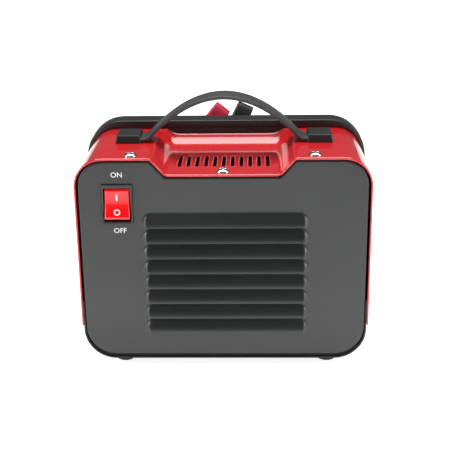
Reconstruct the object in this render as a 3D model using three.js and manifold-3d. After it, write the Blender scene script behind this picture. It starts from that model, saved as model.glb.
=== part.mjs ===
// Stick welding inverter: a small sheet-steel machine with a pressed red cover, a louvred rear
// panel with an illuminated rocker switch, a moulded front bezel, an arched strap handle, a fan
// and power electronics inside, and two insulated spring clamps parked on a bar at the front.
//
// Millimetres, +Z up. The rear panel faces -Y and the operating front faces +Y. While the model
// is built, y = 0 is the face of the rear panel and z = 0 is the surface the feet stand on; the
// last lines move the group so that its origin is at the bottom centre of the machine.
import * as THREE from 'three';
import { mergeVertices } from 'three/addons/utils/BufferGeometryUtils.js';
import Module from 'manifold-3d';

const wasm = await Module();
wasm.setup();

// ---------------------------------------------------------------- driving dimensions
const GAP = 0.3;                 // clearance kept between touching pieces
const SHEET = 1.2;               // steel sheet of the cover, tray and rear panel
const FOOT_HEIGHT = 8;
const BODY_HALF = 115;           // half width over the red cover
const BODY_TOP = 176;            // top of the two lobes beside the recess
const CORNER = 22.5;             // outer radius of the cover's upper corners
const TRAY_CORNER = 25.5;        // outer radius of the tray's lower corners
const SHELL_DEPTH = 97.5;        // length of the cover and tray, rear to front
const SKIRT_Z = 37;              // lower edge of the cover's side skirts
const TRAY_TOP = 58;             // top of the tray's sides, lapped inside the skirts
const FLANGE = 18;               // how far the rear panel's folded edge reaches forward

const RECESS_DEPTH = 13;         // depth of the pressed recess in the cover's top
const RECESS_HALF = 43.7;        // half width of its floor
const RECESS_FLARE = 11.7;       // how much wider each side is at the top

const SLOT = { count: 11, pitch: 7, width: 2.8, y0: 24.5, y1: 54.5 };
const LOUVRE = {
  x: 1.5, count: 8, pitch: 12.7, firstLip: 121.2, half: 54, height: 12.2, depth: 4.2,
};

const SWITCH = { x: -81.8, z: 139.9, width: 24.6, height: 32, rocker: 19.2, throwDeg: 18 };
const SCREW = { x: 71, y: 8.5, centreY: 9, head: 5, shank: 2 };
const BLOCK = { x: 77, y: 58.8, width: 20.4, length: 26, height: 6.4 };
const STRAP = { rise: 214, bow: 0.0087, width: 23, thick: 2.8, end: 84, flat: 66 };
const FOOT = { x: 83, rearY: 18, frontY: 79, radius: 8.8 };

const BEZEL = { half: 118.5, top: 183, bottom: 4.5, radius: 31, rear: 94.5, front: 118 };
const PANEL_Y = 98;              // rear face of the front panel
const PANEL_THICK = 1.8;
const FRONT = PANEL_Y + PANEL_THICK;
const WINDOW_HALF = 101;         // half width of the bezel's opening at the front panel
const WINDOW_CORNER = 25;

const FAN = { z: 76, size: 80, bore: 38, y0: 24, depth: 25, hub: 16 };
const KNOB = { x: -42, z: 82, radius: 16, depth: 15 };
const LAMP = { x: 44, z: [96, 68], radius: 4 };
const GLAND = { x: 88, z: 46, radius: 9, bore: 3.9, length: 14 };
const MAINS_GLAND = { x: 0, z: 42 };
const BAR = { y: 132, z: 173, half: 62, radius: 2.5, bend: 7 };

const LEAD_RADIUS = 3.25;
const COIL = { x: 52, y: 200, radius: 39, width: 21, height: 13.4, pitch: 7.25 };

// ---------------------------------------------------------------- materials
const paint = (color, roughness, metalness = 0) =>
  new THREE.MeshStandardMaterial({ color, roughness, metalness });

const RED_PAINT = paint(0xd2262c, 0.22);
const DARK_PAINT = paint(0x44464a, 0.5);
const BLACK_PAINT = paint(0x17181a, 0.5);
const BLACK_PLASTIC = paint(0x202224, 0.45);
const STRAP_PLASTIC = paint(0x2b2c2e, 0.5);
const RUBBER = paint(0x151515, 0.85);
const NICKEL = paint(0xc9c7c2, 0.25, 1);
const STEEL = paint(0x8f9296, 0.35, 1);
const ALUMINIUM = paint(0xb6b9bd, 0.4, 1);
const COPPER = paint(0xb0683a, 0.4, 1);
const FERRITE = paint(0x3a3b3d, 0.8);
const BOARD_GREEN = paint(0x1f5a34, 0.5);
const SLEEVE_BLUE = paint(0x22304f, 0.35);
const LAMP_RED = paint(0xe0140f, 0.15);
const LAMP_GREEN = paint(0x1fa33a, 0.2);
const LAMP_AMBER = paint(0xe08a12, 0.2);
const CLAMP_RED = paint(0xc41d47, 0.45);
const CLAMP_BLACK = paint(0x1c1c1e, 0.45);

// ---------------------------------------------------------------- solids and booleans
const TURN = Math.PI / 180;

/** A manifold solid from a closed three.js geometry. */
function solid(geometry) {
  const bare = geometry.index ? geometry.toNonIndexed() : geometry.clone();
  for (const name of Object.keys(bare.attributes)) {
    if (name !== 'position') bare.deleteAttribute(name);
  }
  const merged = mergeVertices(bare, 1e-4);
  const mesh = new wasm.Mesh({
    numProp: 3,
    vertProperties: new Float32Array(merged.attributes.position.array),
    triVerts: new Uint32Array(merged.index.array),
  });
  return new wasm.Manifold(mesh);
}

/** Turns a manifold solid back into a geometry. */
function geometryOf(body) {
  const mesh = body.getMesh();
  const geometry = new THREE.BufferGeometry();
  geometry.setAttribute('position', new THREE.BufferAttribute(mesh.vertProperties, 3));
  geometry.setIndex(new THREE.BufferAttribute(mesh.triVerts, 1));
  return geometry;
}

const union = (...bodies) => bodies.reduce((whole, body) => whole.add(body));
const cut = (body, ...tools) => tools.reduce((rest, tool) => rest.subtract(tool), body);

/** Extrudes a shape drawn in x and z, along y from y0 to y1. */
function prismY(shape, y0, y1, options = {}) {
  const depth = y1 - y0;
  const geometry = new THREE.ExtrudeGeometry(shape, {
    depth, bevelEnabled: false, curveSegments: 6, ...options,
  });
  geometry.rotateX(Math.PI / 2);
  geometry.translate(0, y1, 0);
  return solid(geometry);
}

/** Extrudes a shape drawn in y and z, along x from x0 to x1. */
function prismX(shape, x0, x1, curveSegments = 8) {
  const geometry = new THREE.ExtrudeGeometry(shape, {
    depth: x1 - x0, bevelEnabled: false, curveSegments,
  });
  const axes = new THREE.Matrix4().makeBasis(
    new THREE.Vector3(0, 1, 0), new THREE.Vector3(0, 0, 1), new THREE.Vector3(1, 0, 0),
  );
  geometry.applyMatrix4(axes);
  geometry.translate(x0, 0, 0);
  return solid(geometry);
}

/** A box from its lowest to its highest corner. */
function box(x0, x1, y0, y1, z0, z1) {
  const geometry = new THREE.BoxGeometry(x1 - x0, y1 - y0, z1 - z0);
  geometry.translate((x0 + x1) / 2, (y0 + y1) / 2, (z0 + z1) / 2);
  return solid(geometry);
}

/** Turns a geometry made around y so that it lies around the named axis. */
function alongAxis(geometry, axis) {
  if (axis === 'z') geometry.rotateX(Math.PI / 2);
  if (axis === 'x') geometry.rotateZ(-Math.PI / 2);
  return geometry;
}

/** A cylinder around the named axis, centred at x, y, z. */
function rod(axis, radius, length, x, y, z, sides = 20) {
  const geometry = alongAxis(new THREE.CylinderGeometry(radius, radius, length, sides), axis);
  geometry.translate(x, y, z);
  return solid(geometry);
}

/** A turned piece: pairs of [radius, distance along the axis], closed on themselves. */
function turned(profile, axis, x, y, z, sides = 20) {
  const points = profile.map(([radius, along]) => new THREE.Vector2(radius, along));
  const geometry = new THREE.LatheGeometry(points, sides);
  if (axis === 'z') geometry.rotateX(Math.PI / 2);
  geometry.translate(x, y, z);
  return solid(geometry);
}

/** A rectangle with round corners, drawn in x and z. */
function roundedRect(half, bottom, top, low, high = low) {
  const shape = new THREE.Shape();
  shape.moveTo(-half + low, bottom);
  shape.lineTo(half - low, bottom);
  shape.absarc(half - low, bottom + low, low, -Math.PI / 2, 0, false);
  shape.lineTo(half, top - high);
  shape.absarc(half - high, top - high, high, 0, Math.PI / 2, false);
  shape.lineTo(-half + high, top);
  shape.absarc(-half + high, top - high, high, Math.PI / 2, Math.PI, false);
  shape.lineTo(-half, bottom + low);
  shape.absarc(-half + low, bottom + low, low, Math.PI, 1.5 * Math.PI, false);
  return shape;
}

/** A closed outline through a list of points. */
function outline(points) {
  const shape = new THREE.Shape();
  points.forEach(([a, b], i) => (i ? shape.lineTo(a, b) : shape.moveTo(a, b)));
  return shape;
}

// ---------------------------------------------------------------- the assembly group
const machine = new THREE.Group();
const pieces = {};

/** Adds a piece to the machine, or to the group given. */
function piece(name, body, material, parent = machine) {
  const mesh = new THREE.Mesh(geometryOf(body), material);
  mesh.name = name;
  parent.add(mesh);
  pieces[name] = mesh;
  return mesh;
}

// ---------------------------------------------------------------- red cover
const FLARE_ANGLE = Math.atan2(RECESS_DEPTH, RECESS_FLARE);

/** Half width of the recess's floor on a surface that lies the given depth below the cover's. */
const notchHalf = (below) => RECESS_HALF + below * Math.tan(FLARE_ANGLE / 2);

/**
 * Stations along the recess: how far its floor has risen and its walls have drawn in towards the
 * bezel. Between them the recess is a straight loft.
 */
const RECESS_STATIONS = [
  { y: -4, rise: 0, inward: 0 },
  { y: 78.5, rise: 0, inward: 0 },
  { y: 84, rise: 0.8, inward: 0 },
  { y: 88, rise: 2.5, inward: 0.6 },
  { y: 91.5, rise: 5.1, inward: 2.5 },
  { y: 94.2, rise: 8.4, inward: 5.8 },
  { y: 105, rise: 9, inward: 6.4 },
];

/** The recess as a solid, grown by the given amount below and to the sides. */
function recessSolid(grow) {
  const floor = BODY_TOP - RECESS_DEPTH - grow;
  const top = BODY_TOP + 20;
  const flare = RECESS_FLARE / RECESS_DEPTH;
  const slices = RECESS_STATIONS.map(({ y, rise, inward }) => {
    const half = notchHalf(grow) - inward;
    const [low, high] = [half + rise * flare, half + (top - floor) * flare];
    const section = outline([[-low, floor + rise], [low, floor + rise], [high, top], [-high, top]]);
    return prismY(section, y - 0.01, y);
  });
  return union(...slices.slice(1).map((slice, i) => wasm.Manifold.hull([slices[i], slice])));
}

function topCover() {
  const outer = prismY(roundedRect(BODY_HALF, -60, BODY_TOP, CORNER), 0, SHELL_DEPTH);
  const inside = roundedRect(BODY_HALF - SHEET, -70, BODY_TOP - SHEET, CORNER - SHEET);
  const hollow = cut(prismY(inside, -1, SHELL_DEPTH + 1), recessSolid(SHEET));
  let cover = cut(outer, recessSolid(0), hollow, box(-130, 130, -1, 120, -80, SKIRT_Z));
  for (let i = 0; i < SLOT.count; i += 1) {
    const x = (i - (SLOT.count - 1) / 2) * SLOT.pitch;
    const half = SLOT.width / 2;
    cover = cut(cover, box(x - half, x + half, SLOT.y0, SLOT.y1, BODY_TOP - 20, BODY_TOP - 5));
  }
  const holes = screwPlaces().map(({ x, y }) => [x, y]);
  for (const side of [-1, 1]) holes.push([side * BLOCK.x, BLOCK.y]);
  for (const [x, y] of holes) {
    cover = cut(cover, rod('z', SCREW.shank + GAP, 40, x, y, BODY_TOP, 12));
  }
  piece('top_cover', cover, RED_PAINT);
}

function screwPlaces() {
  return [
    { name: 'left', x: -SCREW.x, y: SCREW.y, z: BODY_TOP },
    { name: 'right', x: SCREW.x, y: SCREW.y, z: BODY_TOP },
    { name: 'centre', x: 0, y: SCREW.centreY, z: BODY_TOP - RECESS_DEPTH },
  ];
}

/** Domed cross-head screws that hold the cover to the rear panel's flange. */
function coverScrews() {
  const dome = [[0, -9], [SCREW.shank, -9], [SCREW.shank, 0.1], [SCREW.head, 0.1]];
  const steps = 3;
  for (let i = 0; i <= steps; i += 1) {
    const turn = (i / steps) * 90 * TURN;
    const radius = i === steps ? 0 : SCREW.head * Math.cos(turn);
    dome.push([radius, 0.5 + 2.1 * Math.sin(turn)]);
  }
  for (const { name, x, y, z } of screwPlaces()) {
    const head = turned(dome, 'z', 0, 0, 0, 12);
    const cross = union(box(-2.6, 2.6, -0.45, 0.45, 1.3, 4), box(-0.45, 0.45, -2.6, 2.6, 1.3, 4));
    const mesh = piece(`cover_screw_${name}`, cut(head, cross), NICKEL);
    mesh.position.set(x, y, z + GAP);
  }
}

// ---------------------------------------------------------------- base tray and feet
const TRAY_HALF = BODY_HALF - SHEET - GAP;

function baseTray() {
  const outer = roundedRect(TRAY_HALF, FOOT_HEIGHT, 90, TRAY_CORNER, 1);
  const inner = roundedRect(
    TRAY_HALF - SHEET, FOOT_HEIGHT + SHEET, 100, TRAY_CORNER - SHEET, 1,
  );
  let tray = cut(
    prismY(outer, 0, SHELL_DEPTH),
    prismY(inner, -1, SHELL_DEPTH + 1),
    box(-130, 130, -1, 120, TRAY_TOP, 120),
  );
  for (const { x, y } of footPlaces()) {
    tray = cut(tray, rod('z', SCREW.shank + GAP, 10, x, y, FOOT_HEIGHT, 12));
  }
  piece('base_tray', tray, BLACK_PAINT);
}

function footPlaces() {
  return [
    { name: 'rear_left', x: -FOOT.x, y: FOOT.rearY },
    { name: 'rear_right', x: FOOT.x, y: FOOT.rearY },
    { name: 'front_left', x: -FOOT.x, y: FOOT.frontY },
    { name: 'front_right', x: FOOT.x, y: FOOT.frontY },
  ];
}

/** Round rubber feet, each held by a screw from below in a counterbore. */
function feet() {
  const top = FOOT_HEIGHT - GAP;
  const hole = SCREW.shank + GAP;
  const pocket = 4.6;
  const foot = [
    [pocket, 0], [FOOT.radius - 2.8, 0], [FOOT.radius - 1.2, 1], [FOOT.radius - 0.4, 2.8],
    [FOOT.radius, top],
    [hole, top], [hole, 3.6], [pocket, 3.6], [pocket, 0],
  ];
  const screw = [
    [0, 1.2], [3.9, 1.2], [3.9, 3.3], [SCREW.shank, 3.3], [SCREW.shank, 11], [0, 11],
  ];
  for (const { name, x, y } of footPlaces()) {
    piece(`foot_${name}`, turned(foot, 'z', 0, 0, 0, 16), RUBBER).position.set(x, y, 0);
    piece(`foot_screw_${name}`, turned(screw, 'z', 0, 0, 0, 10), STEEL).position.set(x, y, 0);
  }
}

// ---------------------------------------------------------------- rear panel
const REAR_HALF = TRAY_HALF - SHEET - GAP;
const REAR_TOP = BODY_TOP - SHEET - 2 * GAP;
const REAR_DROP = BODY_TOP - REAR_TOP;        // how far its edge lies below the cover's surface
const REAR_BOTTOM = FOOT_HEIGHT + SHEET + 2.2;
const REAR_CORNER = { low: TRAY_CORNER - SHEET - GAP, high: CORNER - 2.2 };

/** The rear panel's outline, drawn in by the given amount, with the notch under the recess. */
function rearOutline(inset) {
  const half = REAR_HALF - inset;
  const bottom = REAR_BOTTOM + inset;
  const top = REAR_TOP - inset;
  const low = REAR_CORNER.low - inset;
  const high = REAR_CORNER.high - inset;
  const floorHalf = notchHalf(REAR_DROP + inset);
  const floorZ = BODY_TOP - RECESS_DEPTH - REAR_DROP - inset;
  const shoulder = floorHalf + (top - floorZ) * (RECESS_FLARE / RECESS_DEPTH);
  const shape = new THREE.Shape();
  shape.moveTo(-half + low, bottom);
  shape.lineTo(half - low, bottom);
  shape.absarc(half - low, bottom + low, low, -Math.PI / 2, 0, false);
  shape.lineTo(half, top - high);
  shape.absarc(half - high, top - high, high, 0, Math.PI / 2, false);
  shape.lineTo(shoulder, top);
  shape.lineTo(floorHalf, floorZ);
  shape.lineTo(-floorHalf, floorZ);
  shape.lineTo(-shoulder, top);
  shape.lineTo(-half + high, top);
  shape.absarc(-half + high, top - high, high, Math.PI / 2, Math.PI, false);
  shape.lineTo(-half, bottom + low);
  shape.absarc(-half + low, bottom + low, low, Math.PI, 1.5 * Math.PI, false);
  return shape;
}

/** One louvre's bulge: a half dome at each end and a half ellipse between, cut off at its lip. */
function louvreBulge(lip, height, depth, back) {
  const quarter = [];
  const steps = 3;
  for (let i = 0; i <= steps; i += 1) {
    const turn = (i / steps) * 90 * TURN;
    quarter.push([i === steps ? 0 : height * Math.cos(turn), -depth * Math.sin(turn)]);
  }
  const dome = [[0, back], [height, back], ...quarter];
  const left = turned(dome.slice().reverse(), 'y', -LOUVRE.half, 0, lip, 12);
  const right = turned(dome.slice().reverse(), 'y', LOUVRE.half, 0, lip, 12);
  const section = outline([[back, -1], [back, height], ...quarter.map(([r, y]) => [y, r]),
    [-depth, -1]]);
  const middle = prismX(section, -LOUVRE.half, LOUVRE.half).translate([0, 0, lip]);
  const below = box(-90, 90, -20, 20, lip - 30, lip);
  return cut(union(left, right, middle), below);
}

function rearPanel() {
  const round = 1.6;
  const pan = prismY(rearOutline(round), round, 40, {
    bevelEnabled: true, bevelSize: round, bevelThickness: round, bevelSegments: 2,
  });
  let panel = cut(
    pan,
    prismY(rearOutline(SHEET), SHEET, 60),
    box(-130, 130, FLANGE, 80, -5, 200),
  );
  for (let i = 0; i < LOUVRE.count; i += 1) {
    const lip = LOUVRE.firstLip - i * LOUVRE.pitch;
    const outside = louvreBulge(lip, LOUVRE.height - 1, LOUVRE.depth, SHEET / 2);
    const inside = louvreBulge(lip, LOUVRE.height - 1 - SHEET, LOUVRE.depth - SHEET, 3);
    panel = cut(
      union(panel, outside.translate([LOUVRE.x, 0, 0])), inside.translate([LOUVRE.x, 0, 0]),
    );
  }
  const hole = { x: SWITCH.width / 2 - 1.4, z: SWITCH.height / 2 - 1.2 };
  panel = cut(panel, box(
    SWITCH.x - hole.x, SWITCH.x + hole.x, -3, 5, SWITCH.z - hole.z, SWITCH.z + hole.z,
  ));
  for (const { x, y } of screwPlaces()) {
    panel = cut(panel, rod('z', SCREW.shank + GAP, 60, x, y, BODY_TOP, 12));
  }
  piece('rear_panel', panel, DARK_PAINT);
}

/** Black rubber edging between the rear panel's lower edge and the tray. */
function edgeTrim() {
  const trimTop = 19;
  const outer = roundedRect(
    REAR_HALF, FOOT_HEIGHT + SHEET + GAP, 90, REAR_CORNER.low, 1,
  );
  const strip = cut(
    prismY(outer, 1, 8), prismY(rearOutline(-GAP), -5, 20), box(-130, 130, -1, 20, trimTop, 120),
  );
  piece('edge_trim', strip, RUBBER);
}

// ---------------------------------------------------------------- rocker switch
/** Snap-in switch housing with a pocket for the rocker. */
function switchHousing() {
  const w = SWITCH.width / 2;
  const h = SWITCH.height / 2;
  const flange = prismY(roundedRect(w, -h, h, 1.2), -2.2, -GAP, { curveSegments: 3 });
  const body = box(-w + 1.8, w - 1.8, -GAP - 0.1, 20, -h + 1.6, h - 1.6);
  const mouth = SWITCH.rocker / 2 + 0.8;
  const pocket = box(-mouth, mouth, -4, 13, -13.4, 13.4);
  const housing = cut(union(flange, body), pocket);
  piece('switch_housing', housing, BLACK_PLASTIC).position.set(SWITCH.x, 0, SWITCH.z);
}

const ROCKER_PIVOT_Y = 3;

/** The rocker, with its lower end standing out: the ON position. */
function switchRocker() {
  const half = 12.2;
  const face = -3.4 - ROCKER_PIVOT_Y;
  const side = outline([
    [face + 1.2, 0], [face, half], [face + 4, half], [3, 5], [3, -5], [face + 4, -half],
    [face, -half],
  ]);
  const rocker = prismX(side, -SWITCH.rocker / 2, SWITCH.rocker / 2);
  const mesh = piece('switch_rocker', rocker, LAMP_RED);
  mesh.position.set(SWITCH.x, ROCKER_PIVOT_Y, SWITCH.z);
  mesh.rotation.x = -(SWITCH.throwDeg / 2) * TURN;
}

// ---------------------------------------------------------------- handle
/** Height of the strap's upper face at the given distance from its middle. */
const strapHeight = (x) => STRAP.rise - STRAP.bow * x * x;

function strapOutline() {
  const low = BODY_TOP + 0.9;
  const steps = 22;
  const upper = [];
  const lower = [];
  for (let i = 0; i <= steps; i += 1) {
    const x = -STRAP.flat + (2 * STRAP.flat * i) / steps;
    const slope = -2 * STRAP.bow * x;
    const length = Math.hypot(1, slope);
    const z = Math.max(strapHeight(x), low + STRAP.thick);
    upper.push([x, z]);
    const under = strapHeight(x) - STRAP.thick / length;
    lower.push([x + (slope * STRAP.thick) / length, Math.max(under, low)]);
  }
  const left = [[-STRAP.end, low], [-STRAP.end, low + STRAP.thick]];
  const right = [[STRAP.end, low + STRAP.thick], [STRAP.end, low]];
  return outline([...left, ...upper, ...right, ...lower.reverse()]);
}

function handle() {
  const half = STRAP.width / 2;
  const strap = cut(
    prismY(strapOutline(), BLOCK.y - half, BLOCK.y + half),
    rod('z', SCREW.shank + GAP, 20, -BLOCK.x, BLOCK.y, BODY_TOP, 12),
    rod('z', SCREW.shank + GAP, 20, BLOCK.x, BLOCK.y, BODY_TOP, 12),
  );
  piece('handle_strap', strap, STRAP_PLASTIC);

  const w = BLOCK.width / 2;
  const l = BLOCK.length / 2;
  const base = BODY_TOP + GAP;
  const top = BODY_TOP + BLOCK.height;
  for (const side of [-1, 1]) {
    const name = side < 0 ? 'left' : 'right';
    const cap = prismY(roundedRect(w, base, top, 0.4, 1.2), BLOCK.y - l, BLOCK.y + l, {
      curveSegments: 3,
    }).translate([side * BLOCK.x, 0, 0]);
    const inner = side * (BLOCK.x - w - 3);
    const outer = side * (STRAP.end + GAP);
    const channel = box(
      Math.min(inner, outer), Math.max(inner, outer), BLOCK.y - half - GAP,
      BLOCK.y + half + GAP, BODY_TOP - 1, BODY_TOP + 0.9 + STRAP.thick + GAP,
    );
    const bore = rod('z', SCREW.shank + GAP, 10, side * BLOCK.x, BLOCK.y, BODY_TOP + 0.6, 12);
    piece(`handle_block_${name}`, cut(cap, channel, bore), BLACK_PLASTIC);

    const screw = [[0, -8], [3.9, -8], [3.9, -SHEET - GAP], [SCREW.shank, -SHEET - GAP],
      [SCREW.shank, 5], [0, 5]];
    piece(`handle_screw_${name}`, turned(screw, 'z', 0, 0, 0, 12), STEEL)
      .position.set(side * BLOCK.x, BLOCK.y, BODY_TOP);
  }
}

// ---------------------------------------------------------------- front panel and bezel
function frontPanel() {
  const plate = roundedRect(
    BODY_HALF - GAP, FOOT_HEIGHT + GAP, BODY_TOP - GAP, TRAY_CORNER + 1.2, CORNER - GAP,
  );
  let panel = prismY(plate, PANEL_Y, FRONT);
  const holes = [
    [KNOB.x, KNOB.z, 4.2],
    [MAINS_GLAND.x, MAINS_GLAND.z, GLAND.radius - 2 + GAP],
    ...LAMP.z.map((z) => [LAMP.x, z, LAMP.radius - 0.8 + GAP]),
    ...[-1, 1].map((side) => [side * GLAND.x, GLAND.z, GLAND.radius - 2 + GAP]),
  ];
  for (const [x, z, radius] of holes) {
    panel = cut(panel, rod('y', radius, 20, x, FRONT, z, 16));
  }
  piece('front_panel', panel, DARK_PAINT);
}

/**
 * The moulded ring that caps the front edge of the shell and frames the front panel. Behind, it
 * closes the open end of the cover's recess.
 */
function frontBezel() {
  const round = 3.5;
  const ring = roundedRect(
    BEZEL.half - round, BEZEL.bottom + round, BEZEL.top - round, BEZEL.radius - round,
  );
  const block = prismY(ring, BEZEL.rear + round, BEZEL.front - round, {
    bevelEnabled: true, bevelSize: round, bevelThickness: round, bevelSegments: 2,
  });
  const shell = roundedRect(
    BODY_HALF + GAP, FOOT_HEIGHT - GAP, BODY_TOP + GAP, TRAY_CORNER + 1.8, CORNER + GAP,
  );
  const pocket = prismY(shell, BEZEL.rear - 5, FRONT + GAP);
  const flare = 7;
  const window = roundedRect(WINDOW_HALF, 22, 164, WINDOW_CORNER);
  const mouth = prismY(window, FRONT + 4, BEZEL.front + 4, {
    bevelEnabled: true, bevelSize: flare, bevelThickness: BEZEL.front - FRONT - 2,
    bevelSegments: 1,
  });
  const through = prismY(window, FRONT - 2, BEZEL.front + 4);
  const closure = recessSolid(-GAP).intersect(
    box(-90, 90, BEZEL.rear, PANEL_Y - GAP, BODY_TOP - RECESS_DEPTH, BODY_TOP + 1),
  );
  piece('front_bezel', union(cut(block, pocket, mouth, through), closure), BLACK_PLASTIC);
}

/** Current knob with a pointer groove, on the potentiometer's shaft. */
function currentKnob() {
  const skirt = [
    [0, 1], [KNOB.radius, 1], [KNOB.radius, 4], [KNOB.radius - 3, 5.5],
    [KNOB.radius - 4.5, KNOB.depth - 1], [KNOB.radius - 5.5, KNOB.depth], [0, KNOB.depth],
  ];
  let knob = turned(skirt, 'y', 0, 0, 0, 28);
  const grips = 12;
  for (let i = 0; i < grips; i += 1) {
    const turn = (i / grips) * 360 * TURN;
    const reach = KNOB.radius - 3.2;
    knob = cut(knob, rod(
      'y', 1.1, 20, reach * Math.cos(turn), 16, reach * Math.sin(turn), 5,
    ));
  }
  knob = cut(knob, box(-0.7, 0.7, KNOB.depth - 1, KNOB.depth + 2, 3, KNOB.radius));
  knob = cut(knob, rod('y', 3 + GAP, 16, 0, 0, 0, 12));
  piece('current_knob', knob, BLACK_PLASTIC).position.set(KNOB.x, FRONT, KNOB.z);
}

function lamps() {
  const materials = [LAMP_GREEN, LAMP_AMBER];
  const names = ['power_lamp', 'fault_lamp'];
  const lens = [
    [0, -8], [LAMP.radius - 0.8, -8], [LAMP.radius - 0.8, GAP], [LAMP.radius, GAP],
    [LAMP.radius, 1.6], [LAMP.radius * 0.7, 3.2], [0, 3.8],
  ];
  LAMP.z.forEach((z, i) => {
    piece(names[i], turned(lens, 'y', 0, 0, 0, 16), materials[i]).position.set(LAMP.x, FRONT, z);
  });
}

/** A screwed cable gland through the front panel, open along its middle. */
function gland(name, x, z, bore) {
  const r = GLAND.radius;
  const profile = [
    [bore, -8], [r - 2, -8], [r - 2, GAP], [r, GAP], [r, 6], [r - 1.2, 7], [r - 1.2, 10],
    [r - 3, GLAND.length], [bore, GLAND.length], [bore, -8],
  ];
  piece(name, turned(profile, 'y', 0, 0, 0, 12), BLACK_PLASTIC).position.set(x, FRONT, z);
}

/** A bent steel bar across the bezel's front, where the two clamps are parked. */
function parkingBar() {
  const { half, bend } = BAR;
  const y0 = BEZEL.front + GAP;
  const path = new THREE.CurvePath();
  const at = (x, y) => new THREE.Vector3(x, y, BAR.z);
  const straight = (a, b) => path.add(new THREE.LineCurve3(a, b));
  const corner = (a, b, c) => path.add(new THREE.QuadraticBezierCurve3(a, b, c));
  straight(at(-half, y0), at(-half, BAR.y - bend));
  corner(at(-half, BAR.y - bend), at(-half, BAR.y), at(-half + bend, BAR.y));
  straight(at(-half + bend, BAR.y), at(half - bend, BAR.y));
  corner(at(half - bend, BAR.y), at(half, BAR.y), at(half, BAR.y - bend));
  straight(at(half, BAR.y - bend), at(half, y0));
  piece('parking_bar', tube(path, BAR.radius, 22, 8), NICKEL);
}

/** A round tube solid along a curve. */
function tube(path, radius, steps, sides) {
  const ring = new THREE.Shape();
  for (let i = 0; i < sides; i += 1) {
    const turn = (i / sides) * 2 * Math.PI;
    const [a, b] = [radius * Math.cos(turn), radius * Math.sin(turn)];
    if (i) ring.lineTo(a, b);
    else ring.moveTo(a, b);
  }
  return solid(new THREE.ExtrudeGeometry(ring, { steps, extrudePath: path, bevelEnabled: false }));
}

// ---------------------------------------------------------------- parked clamps
const CLAMP = { half: 7, nose: 16.5, pivot: -27, end: -74, spread: 19, pin: 2.2, ear: 6 };
const CLAMP_PLACES = [
  { name: 'electrode_clamp', x: -12.5, lean: 38, material: CLAMP_RED },
  { name: 'earth_clamp', x: 10.5, lean: 25, material: CLAMP_BLACK },
];

/**
 * One insulated spring clamp, hanging from the parking bar by its jaws. In its own frame the bar
 * is at the origin, z runs up towards the nose, and the jaws close along y. The rear jaw holds
 * the lead; the front jaw turns on the pin.
 */
function springClamp({ name, x, lean, material }) {
  const group = new THREE.Group();
  group.position.set(x, BAR.y, BAR.z);
  group.rotation.y = lean * TURN;
  machine.add(group);

  const { half, nose, pivot, end, spread, ear } = CLAMP;
  const bite = BAR.radius + GAP;
  const inside = 3.4;                // half the room between the fixed jaw's two ears
  const tongue = inside - GAP;       // the moving jaw's ear reaches from the middle to here
  const knuckle = (x0, x1) => rod('x', ear, x1 - x0, (x0 + x1) / 2, 0, pivot, 16);
  const room = ear + 0.6;
  const pocket = (x0, x1, y0, y1) => box(x0, x1, y0, y1, pivot - room, pivot + room);
  const arm = (side) => outline([
    [0.6, nose], [5.2, nose - 1.5], [8, 6], [9, -8], [9.4, pivot + 3],
    [spread, -46], [spread + 3, end + 2], [spread + 1, end], [spread - 3.2, end],
    [spread - 4.4, -50], [8, pivot - 8], [5.2, pivot - 2], [5.2, -20], [bite, -14],
    [bite, 9], [0.5, 12],
  ].map(([y, z]) => [side * y, z]));
  const mouth = prismY(outline([[-2, nose + 2], [0, nose - 6], [2, nose + 2]]), -12, 12);
  const bore = rod('x', CLAMP.pin + GAP, 30, 0, 0, pivot, 16);

  const fixed = cut(
    union(
      cut(prismX(arm(-1), -half, half), pocket(-inside, inside, -room, room)),
      knuckle(-half + 1, -inside), knuckle(inside, half - 1),
    ),
    mouth, bore, pocket(-inside, inside, -room, room),
  );
  piece(`${name}_fixed_jaw`, fixed, material, group);

  const moving = cut(
    union(
      cut(
        prismX(arm(1), -half, half),
        pocket(-half - 1, -tongue, -room, room), pocket(tongue, half + 1, -room, room),
      ),
      knuckle(-tongue, 0),
    ),
    mouth, bore,
    pocket(0, inside, -room, 4.8),
  );
  piece(`${name}_moving_jaw`, moving, material, group);

  piece(`${name}_pin`, rod('x', CLAMP.pin, 2 * half - 1, 0, 0, pivot, 12), NICKEL, group);
  const inner = CLAMP.pin + GAP;
  const coil = [[inner, 0.4], [4.3, 0.4], [4.3, 2.9], [inner, 2.9], [inner, 0.4]];
  const spring = turned(coil, 'y', 0, 0, 0, 14).rotate([0, 0, -90]).translate([0, 0, pivot]);
  piece(`${name}_spring`, spring, STEEL, group);
}

// ---------------------------------------------------------------- leads
/** A lead's coil, wound flat on the floor in front of the machine. */
function leadCoil(name, side, material) {
  const r0 = COIL.radius - COIL.width / 2;
  const r1 = COIL.radius + COIL.width / 2;
  const ring = [[r0, 0], [r1, 0], [r1, COIL.height], [r0, COIL.height], [r0, 0]];
  piece(name, turned(ring, 'z', 0, 0, 0, 32), material).position.set(side * COIL.x, COIL.y, 0);
}

/** One free stretch of a lead, through a list of points. */
function leadStretch(name, points, material) {
  const curve = new THREE.CatmullRomCurve3(points.map((p) => new THREE.Vector3(...p)));
  const steps = Math.round(curve.getLength() / (4 * LEAD_RADIUS));
  piece(name, tube(curve, LEAD_RADIUS, steps, 8), material);
}

const LEAD_START = FRONT + GLAND.length + GAP;
const LEAD_REST = LEAD_RADIUS + 0.15;                // height of a lead lying on the floor
const COIL_REST = COIL.height + GAP + LEAD_RADIUS;   // height of a lead lying on its coil
const OUTER_TURN = COIL.x + COIL.radius + COIL.pitch;

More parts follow.
